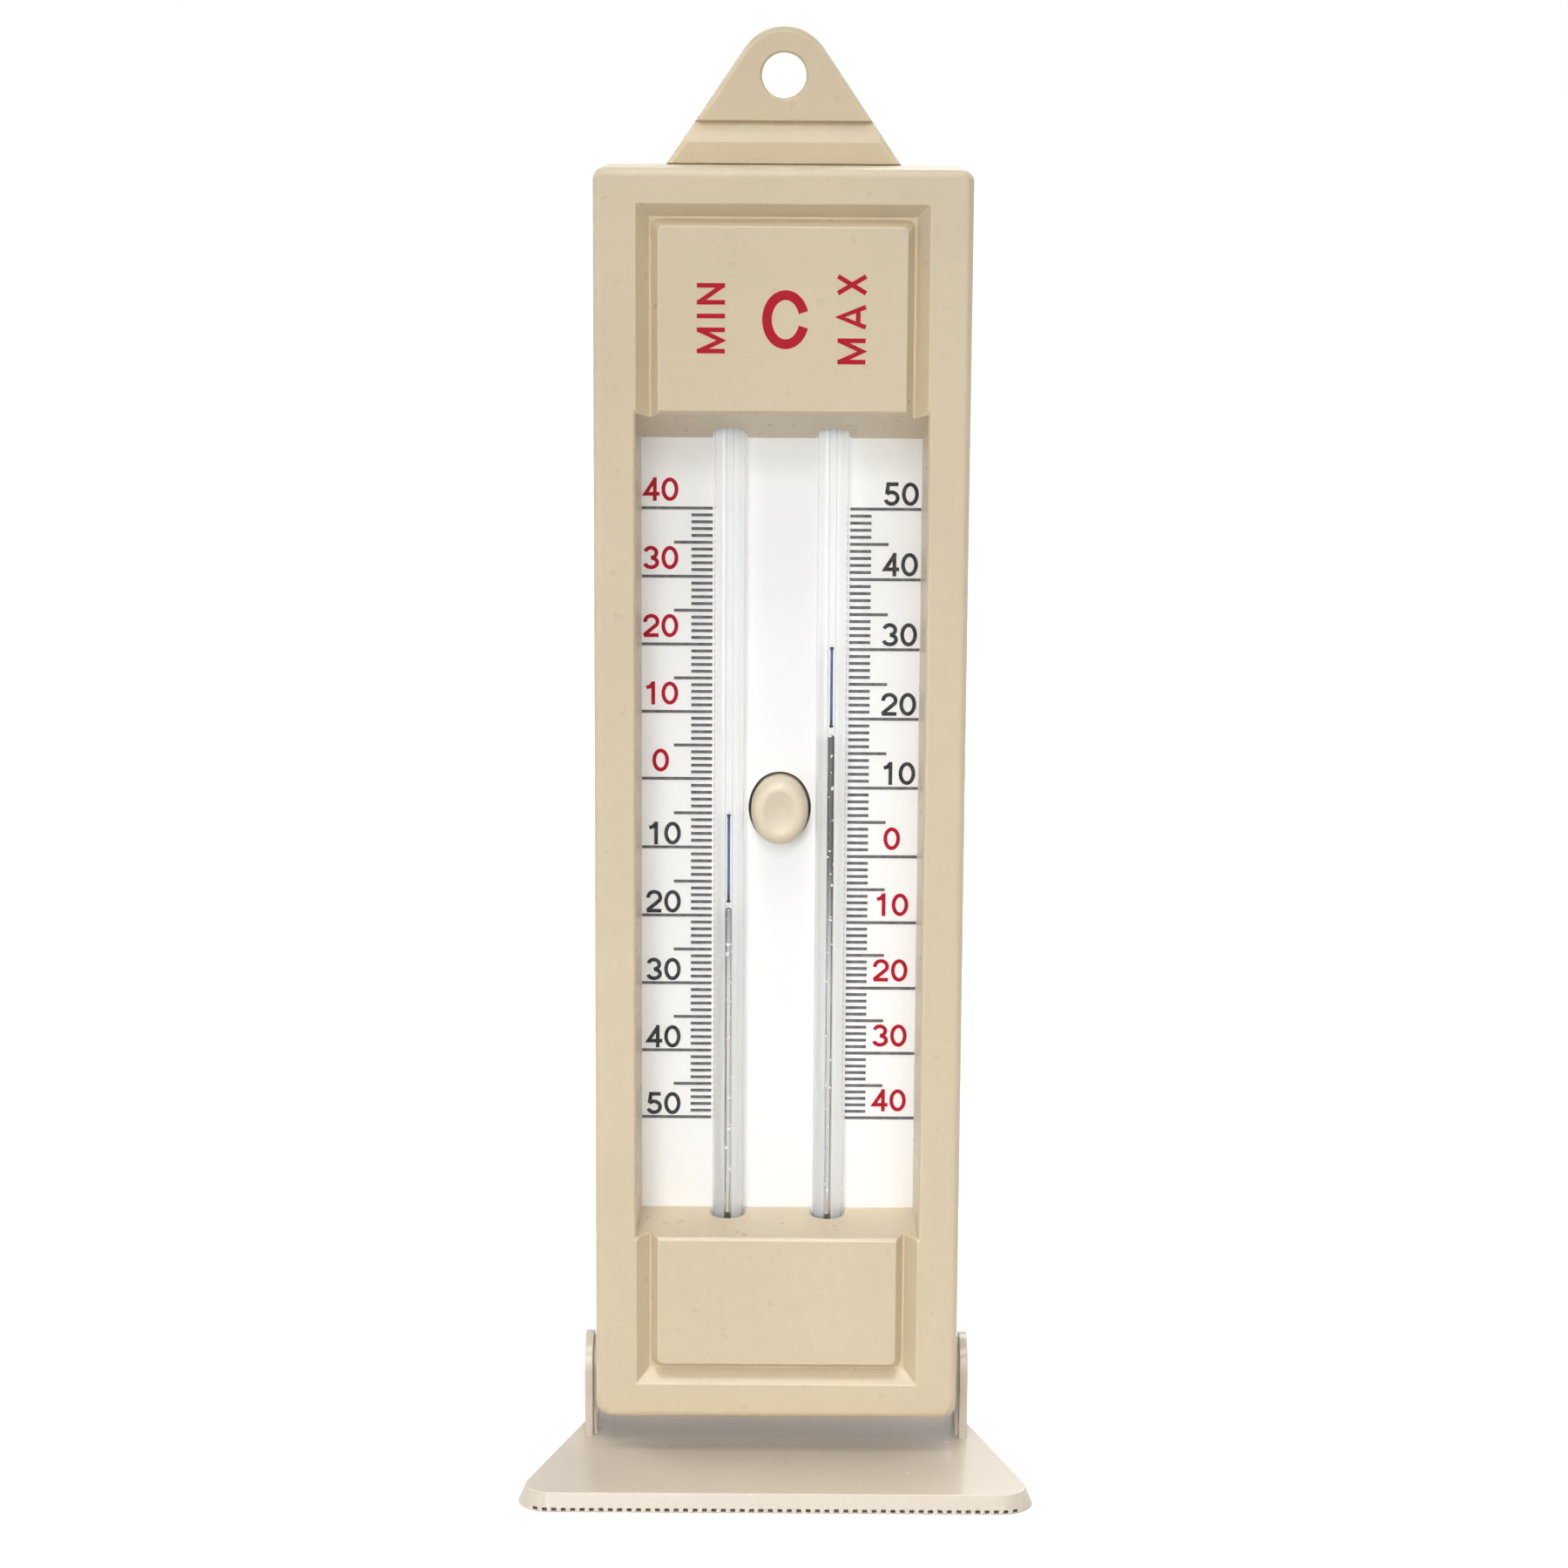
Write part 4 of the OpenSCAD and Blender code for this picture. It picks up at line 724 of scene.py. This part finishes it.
# %% A skin over stations
def skin(mesh, stations, sides, material_index, outward=True):
    """Stretches a closed skin over a ring at each station."""
    rings = []
    across = Vector((0, 1, 0))
    for centre, direction, radius in stations:
        side = direction.cross(across).normalized()
        ring = []
        for i in range(sides):
            angle = 2 * math.pi * i / sides
            offset = side * math.cos(angle) + across * math.sin(angle)
            ring.append(mesh.verts.new(centre + offset * radius))
        rings.append(ring)
    faces = []
    for here, there in zip(rings, rings[1:]):
        for i in range(sides):
            j = (i + 1) % sides
            faces.append(mesh.faces.new((here[i], here[j], there[j], there[i])))
    faces.append(mesh.faces.new(list(reversed(rings[0]))))
    faces.append(mesh.faces.new(rings[-1]))
    for face in faces:
        face.material_index = material_index
        face.smooth = True
    bmesh.ops.recalc_face_normals(mesh, faces=faces)
    if not outward:
        bmesh.ops.reverse_faces(mesh, faces=faces)


def link_mesh(name, mesh, *materials):
    """A mesh object with these materials, linked to the scene."""
    data = bpy.data.meshes.new(name)
    mesh.to_mesh(data)
    mesh.free()
    for material in materials:
        data.materials.append(material)
    made = bpy.data.objects.new(name, data)
    bpy.context.scene.collection.objects.link(made)
    return made


print("skin and mesh helpers ready")

# %% The mesh of the tube
ring_sides = 40
cavity_tip = 0.05 * MM

outer_left = bulb_outline(main_bulb, main_bulb["r"], bulb_z, main_bulb["top"], stem_r, tip_r)
outer_right = bulb_outline(small_bulb, small_bulb["r"], bulb_z, small_bulb["top"], stem_r, tip_r)
outer = down_and_up(
    outer_left + tip_stations(main_bulb), bend_stations(stem_r), outer_right + tip_stations(small_bulb)
)
cavities = []
for bulb in (main_bulb, small_bulb):
    low = bulb_z + bulb_wall
    top = bulb["top"] - bulb_wall
    cavities.append(bulb_outline(bulb, bulb["r"] - bulb_wall, low, top, bore_r, cavity_tip))
inner = down_and_up(cavities[0], bend_stations(bore_r), cavities[1])

tube_mesh = bmesh.new()
skin(tube_mesh, outer, ring_sides, 0)
skin(tube_mesh, inner, ring_sides // 2, 1, outward=False)
u_tube = link_mesh("u_tube", tube_mesh, drawn_glass, bore_wall)
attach(u_tube, "case")
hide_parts("glass_tube")
print("u_tube has", len(u_tube.data.polygons), "faces and", len(outer), "stations outside")

# %% [markdown]
# ## Return spring
# A spring wound from round wire sits between the carrier and the cover and pushes the button forward. Its mesh is
# the same skin as that of the glass, stretched along a helix: each turn is a circle of stations that climbs by one
# pitch.

# %% Return spring
wire_r = 0.2 * MM
coil_turns = 4.5
stations_per_turn = 32
wire_sides = 12
coil_low, coil_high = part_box("return_spring")
coil_middle = (coil_low + coil_high) / 2
coil_r = (coil_high.x - coil_low.x) / 2 - wire_r
coil_pitch = (coil_high.y - coil_low.y - 2 * wire_r) / coil_turns

coil = []
for i in range(round(coil_turns * stations_per_turn) + 1):
    angle = 2 * math.pi * i / stations_per_turn
    outward = Vector((math.cos(angle), 0, math.sin(angle)))
    climb = Vector((0, wire_r + coil_pitch * i / stations_per_turn + coil_low.y, 0))
    centre = Vector((coil_middle.x, 0, coil_middle.z)) + outward * coil_r + climb
    way = Vector((-math.sin(angle), coil_pitch / (2 * math.pi * coil_r), math.cos(angle)))
    coil.append((centre, way.normalized(), wire_r))
coil_mesh = bmesh.new()
skin(coil_mesh, coil, wire_sides, 0)
coil_spring = link_mesh("coil_spring", coil_mesh, bright_steel)
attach(coil_spring, "case")
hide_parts("return_spring")
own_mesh(coil_spring)

# %% [markdown]
# ## Foam behind the main bulb
# A block of open foam keeps the bulb from rattling against the cover. It was cut with straight sides, but soft
# edges, slightly full faces and the groove that the bulb has pressed into it show what it is made of. The mesh
# is a cube of small squares. Each corner of them moves to its place on that soft form, and a fine noise pushes
# the surface in, as the cut cells do.

# %% Foam behind the main bulb
pad_low, pad_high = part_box("bulb_pad")
pad_middle = (pad_low + pad_high) / 2
pad_half = (pad_high - pad_low) / 2
edge_power = 9
groove_depth = 0.4 * MM
groove_half = 0.45
cell_depth = 0.07 * MM
cells_per_mm = 1.7
cuts_per_edge = 19


def foam_place(corner):
    """Where a corner of the plain cube, from -1 to 1 on each axis, lies on the soft block."""
    reach = sum(abs(part) ** edge_power for part in corner) ** (1 / edge_power)
    soft = corner * (max(abs(part) for part in corner) / reach)
    place = Vector((soft.x * pad_half.x, soft.y * pad_half.y, soft.z * pad_half.z))
    inward = cell_depth * (0.5 + 0.5 * noise.noise(place / MM * cells_per_mm))
    place *= 1 - inward / pad_half.y
    if soft.y < 0:
        place.y += groove_depth * math.exp(-((soft.x / groove_half) ** 2)) * -soft.y
    return pad_middle + place


foam_mesh = bmesh.new()
bmesh.ops.create_cube(foam_mesh, size=2)
bmesh.ops.subdivide_edges(foam_mesh, edges=foam_mesh.edges[:], cuts=cuts_per_edge, use_grid_fill=True)
for corner in foam_mesh.verts:
    corner.co = foam_place(corner.co)
for face in foam_mesh.faces:
    face.smooth = True
bulb_foam = link_mesh("bulb_foam", foam_mesh, grey_foam)
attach(bulb_foam, "case")
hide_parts("bulb_pad")
print("foam block of", [round(2 * half / MM, 1) for half in pad_half], "mm")

# %% [markdown]
# ## Numbers and letters
# The scales carry plain numbers, and the panel above the window says which limb is which. Ready made fonts
# aren't needed: a figure is a few pen strokes, and a stroke is a line or an arc with a width. Each stroke
# becomes a row of small quads, and a Delaunay fill joins all the quads of a figure into one clean flat shape,
# which is then raised by the thickness of the ink.

# %% Pen strokes
def arc(x, z, rx, rz, start, end, steps=18):
    """Points on an ellipse from one angle to another, in degrees."""
    points = []
    for i in range(steps + 1):
        angle = math.radians(start + (end - start) * i / steps)
        points.append((x + rx * math.cos(angle), z + rz * math.sin(angle)))
    return points


def ring(x, z, rx, rz):
    """A closed ellipse: its last point lies on its first one."""
    return arc(x, z, rx, rz, 90, 450, 32)


PEN = 0.165

# Each figure: its width and its strokes, for a pen of that width in a height of 1.
FIGURES = {
    "0": (0.72, [ring(0.36, 0.5, 0.278, 0.418)]),
    "1": (0.72, [[(0.43, 0.0), (0.43, 1.0)], [(0.14, 0.74), (0.30, 0.78), (0.42, 0.93)]]),
    "2": (
        0.72,
        [arc(0.35, 0.67, 0.265, 0.248, 185, -32) + [(0.09, 0.13), (0.09, 0.08)], [(0.03, 0.083), (0.66, 0.083)]],
    ),
    "3": (0.72, [arc(0.33, 0.705, 0.24, 0.213, 165, -90), arc(0.34, 0.285, 0.265, 0.203, 90, -168)]),
    "4": (0.72, [[(0.50, 0.0), (0.50, 1.0)], [(0.50, 0.91), (0.10, 0.30), (0.70, 0.30)]]),
    "5": (0.72, [[(0.63, 0.918), (0.20, 0.918), (0.14, 0.50)], arc(0.34, 0.33, 0.265, 0.248, 140, -162)]),
    "M": (
        0.92,
        [[(0.083, 0.0), (0.083, 1.0)], [(0.083, 0.93), (0.46, 0.12), (0.837, 0.93)], [(0.837, 0.0), (0.837, 1.0)]],
    ),
    "I": (0.165, [[(0.083, 0.0), (0.083, 1.0)]]),
    "N": (0.76, [[(0.083, 0.0), (0.083, 1.0)], [(0.083, 0.92), (0.677, 0.08)], [(0.677, 0.0), (0.677, 1.0)]]),
    "A": (0.86, [[(0.07, 0.0), (0.43, 0.92), (0.79, 0.0)], [(0.19, 0.27), (0.67, 0.27)]]),
    "X": (0.78, [[(0.09, 0.0), (0.69, 1.0)], [(0.09, 1.0), (0.69, 0.0)]]),
    "C": (0.80, [arc(0.40, 0.5, 0.318, 0.418, 17, 343, 32)]),
}
print("figures:", " ".join(FIGURES))

# %% A stroke as quads
same_point = 1e-6
sharpest_corner = 0.45


def stroke_quads(points, width):
    """The quads of a stroke: each piece of the line, with its ends cut on the bisector of the corner."""
    line = [Vector(p) for p in points]
    closed = (line[0] - line[-1]).length < same_point
    sides = []
    for i, point in enumerate(line):
        before = line[i - 1] if i else (line[-2] if closed else None)
        after = line[i + 1] if i + 1 < len(line) else (line[1] if closed else None)
        ways = [(point - before).normalized()] if before is not None else []
        ways += [(after - point).normalized()] if after is not None else []
        normals = [Vector((-way.y, way.x)) for way in ways]
        bisector = sum(normals, Vector((0, 0))).normalized()
        reach = width / 2 / max(sharpest_corner, bisector.dot(normals[0]))
        sides.append((point - bisector * reach, point + bisector * reach))
    return [(a[0], b[0], b[1], a[1]) for a, b in zip(sides, sides[1:])]


print("quads in the stroke of an M:", [len(stroke_quads(stroke, PEN)) for stroke in FIGURES["M"][1]])

# %% Setting a line of figures
smallest_area = 1e-14
merge_distance = 1e-7
inside_triangles = 1


def set_figures(text, height, pen, gap):
    """The quads of a line of figures, and the line's length. pen and gap are shares of the height."""
    quads = []
    x = 0
    for letter in text:
        width, strokes = FIGURES[letter]
        for stroke in strokes:
            for quad in stroke_quads(stroke, pen):
                quads.append([((px + x) * height, pz * height) for px, pz in quad])
        x += width + gap
    return quads, (x - gap) * height


def fill_shape(quads):
    """All the quads together as one flat shape of triangles. A triangle that comes from no quad is a hole."""
    points = []
    faces = []
    for quad in quads:
        area = sum(a[0] * b[1] - b[0] * a[1] for a, b in zip(quad, quad[1:] + quad[:1]))
        if abs(area) < smallest_area:
            continue
        corners = quad if area > 0 else quad[::-1]
        faces.append(list(range(len(points), len(points) + 4)))
        points += [Vector(corner) for corner in corners]
    filled = delaunay_2d_cdt(points, [], faces, inside_triangles, merge_distance)
    corner_points, filled_faces, source_quads = filled[0], filled[2], filled[5]
    triangles = [corners for corners, source in zip(filled_faces, source_quads) if source]
    return corner_points, triangles


def print_figures(mesh, text, height, corner, pen=PEN, gap=0.06, along=(1, 0, 0), upward=(0, 0, 1), ink=0.06 * MM):
    """Adds raised figures to a mesh. corner is the foot of the first one, and ink the thickness."""
    points, triangles = fill_shape(set_figures(text, height, pen, gap)[0])
    along = Vector(along)
    upward = Vector(upward)
    base = [mesh.verts.new(Vector(corner) + along * p.x + upward * p.y) for p in points]
    flat = [mesh.faces.new([base[i] for i in triangle]) for triangle in triangles]
    top = bmesh.ops.extrude_face_region(mesh, geom=flat)["geom"]
    raised = [part for part in top if isinstance(part, bmesh.types.BMVert)]
    bmesh.ops.translate(mesh, verts=raised, vec=Vector((0, -ink, 0)))


print("one figure 0 has", len(fill_shape(set_figures("0", 1, PEN, 0)[0])[1]), "triangles")

# %% [markdown]
# ## Numbers of the two scales
# The left scale runs downward and the right one upward, because the mercury falls on one side as it rises on
# the other. Degrees below zero are red, the others black. The spacing comes from the lowest and highest line
# of the printed scale, so the numbers stay on their lines if the scale changes.

# %% Numbers of the two scales
line_half = 0.23 * MM
scale_low = marks_low.z + line_half
scale_high = marks_high.z - line_half
warmest = 50
coldest = 40
cold_share = 0.969
warm_step = (scale_high - scale_low) / (warmest + coldest * cold_share)
cold_step = warm_step * cold_share
left_zero = scale_high - coldest * cold_step
right_zero = scale_low + coldest * cold_step

figure_h = 3.72 * MM
figure_pen = 0.16
red_lift = 1.1 * MM
left_black_lift = 0.4 * MM
right_black_lift = 0.55 * MM
zero_inset = 1.45 * MM
left_red_x = -21.85 * MM
left_black_x = -21.4 * MM
right_red_x = 15.2 * MM
right_black_x = 16.05 * MM

red_mesh = bmesh.new()
black_mesh = bmesh.new()
for degrees in range(0, coldest + 1, 10):
    text = str(degrees)
    inset = 0 if degrees else zero_inset
    left_z = left_zero + degrees * cold_step + red_lift
    print_figures(red_mesh, text, figure_h, (left_red_x + inset, plate_y, left_z), figure_pen)
    right_z = right_zero - degrees * cold_step + red_lift
    print_figures(red_mesh, text, figure_h, (right_red_x + inset, plate_y, right_z), figure_pen)
for degrees in range(10, warmest + 1, 10):
    text = str(degrees)
    left_z = left_zero - degrees * warm_step + left_black_lift
    print_figures(black_mesh, text, figure_h, (left_black_x, plate_y, left_z), figure_pen)
    right_z = right_zero + degrees * warm_step + right_black_lift
    print_figures(black_mesh, text, figure_h, (right_black_x, plate_y, right_z), figure_pen)

red_numbers = link_mesh("red_numbers", red_mesh, red_ink)
black_numbers = link_mesh("black_numbers", black_mesh, black_ink)
for numbers in (red_numbers, black_numbers):
    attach(numbers, "case")
print("numbers:", len(red_numbers.data.polygons) + len(black_numbers.data.polygons), "faces")

# %% [markdown]
# ## Words on the panel
# The panel says which limb keeps the lowest and which the highest reading, and which unit the scale has. Three
# short generic marks do that: MIN and MAX, set upward above their limbs, and a large C between them. They are
# printed in the red of the cold numbers.

# %% Words on the panel
word_h = 4.3 * MM
word_gap = 0.32
word_middle_z = 185.5 * MM
word_feet = {"MIN": -8.8 * MM, "MAX": 12.7 * MM}
letter_h = 8.95 * MM
letter_x = -3.13 * MM
letter_z = 180.88 * MM
word_ink = 0.04 * MM
panel_mesh = bmesh.new()
for text, foot_x in word_feet.items():
    length = set_figures(text, word_h, PEN, word_gap)[1]
    start = (foot_x, front_y, word_middle_z - length / 2)
    print_figures(panel_mesh, text, word_h, start, PEN, word_gap, (0, 0, 1), (-1, 0, 0), word_ink)
print_figures(panel_mesh, "C", letter_h, (letter_x, front_y, letter_z), ink=word_ink)
panel_words = link_mesh("panel_words", panel_mesh, red_ink)
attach(panel_words, "case")
print("panel words:", len(panel_words.data.polygons), "faces")
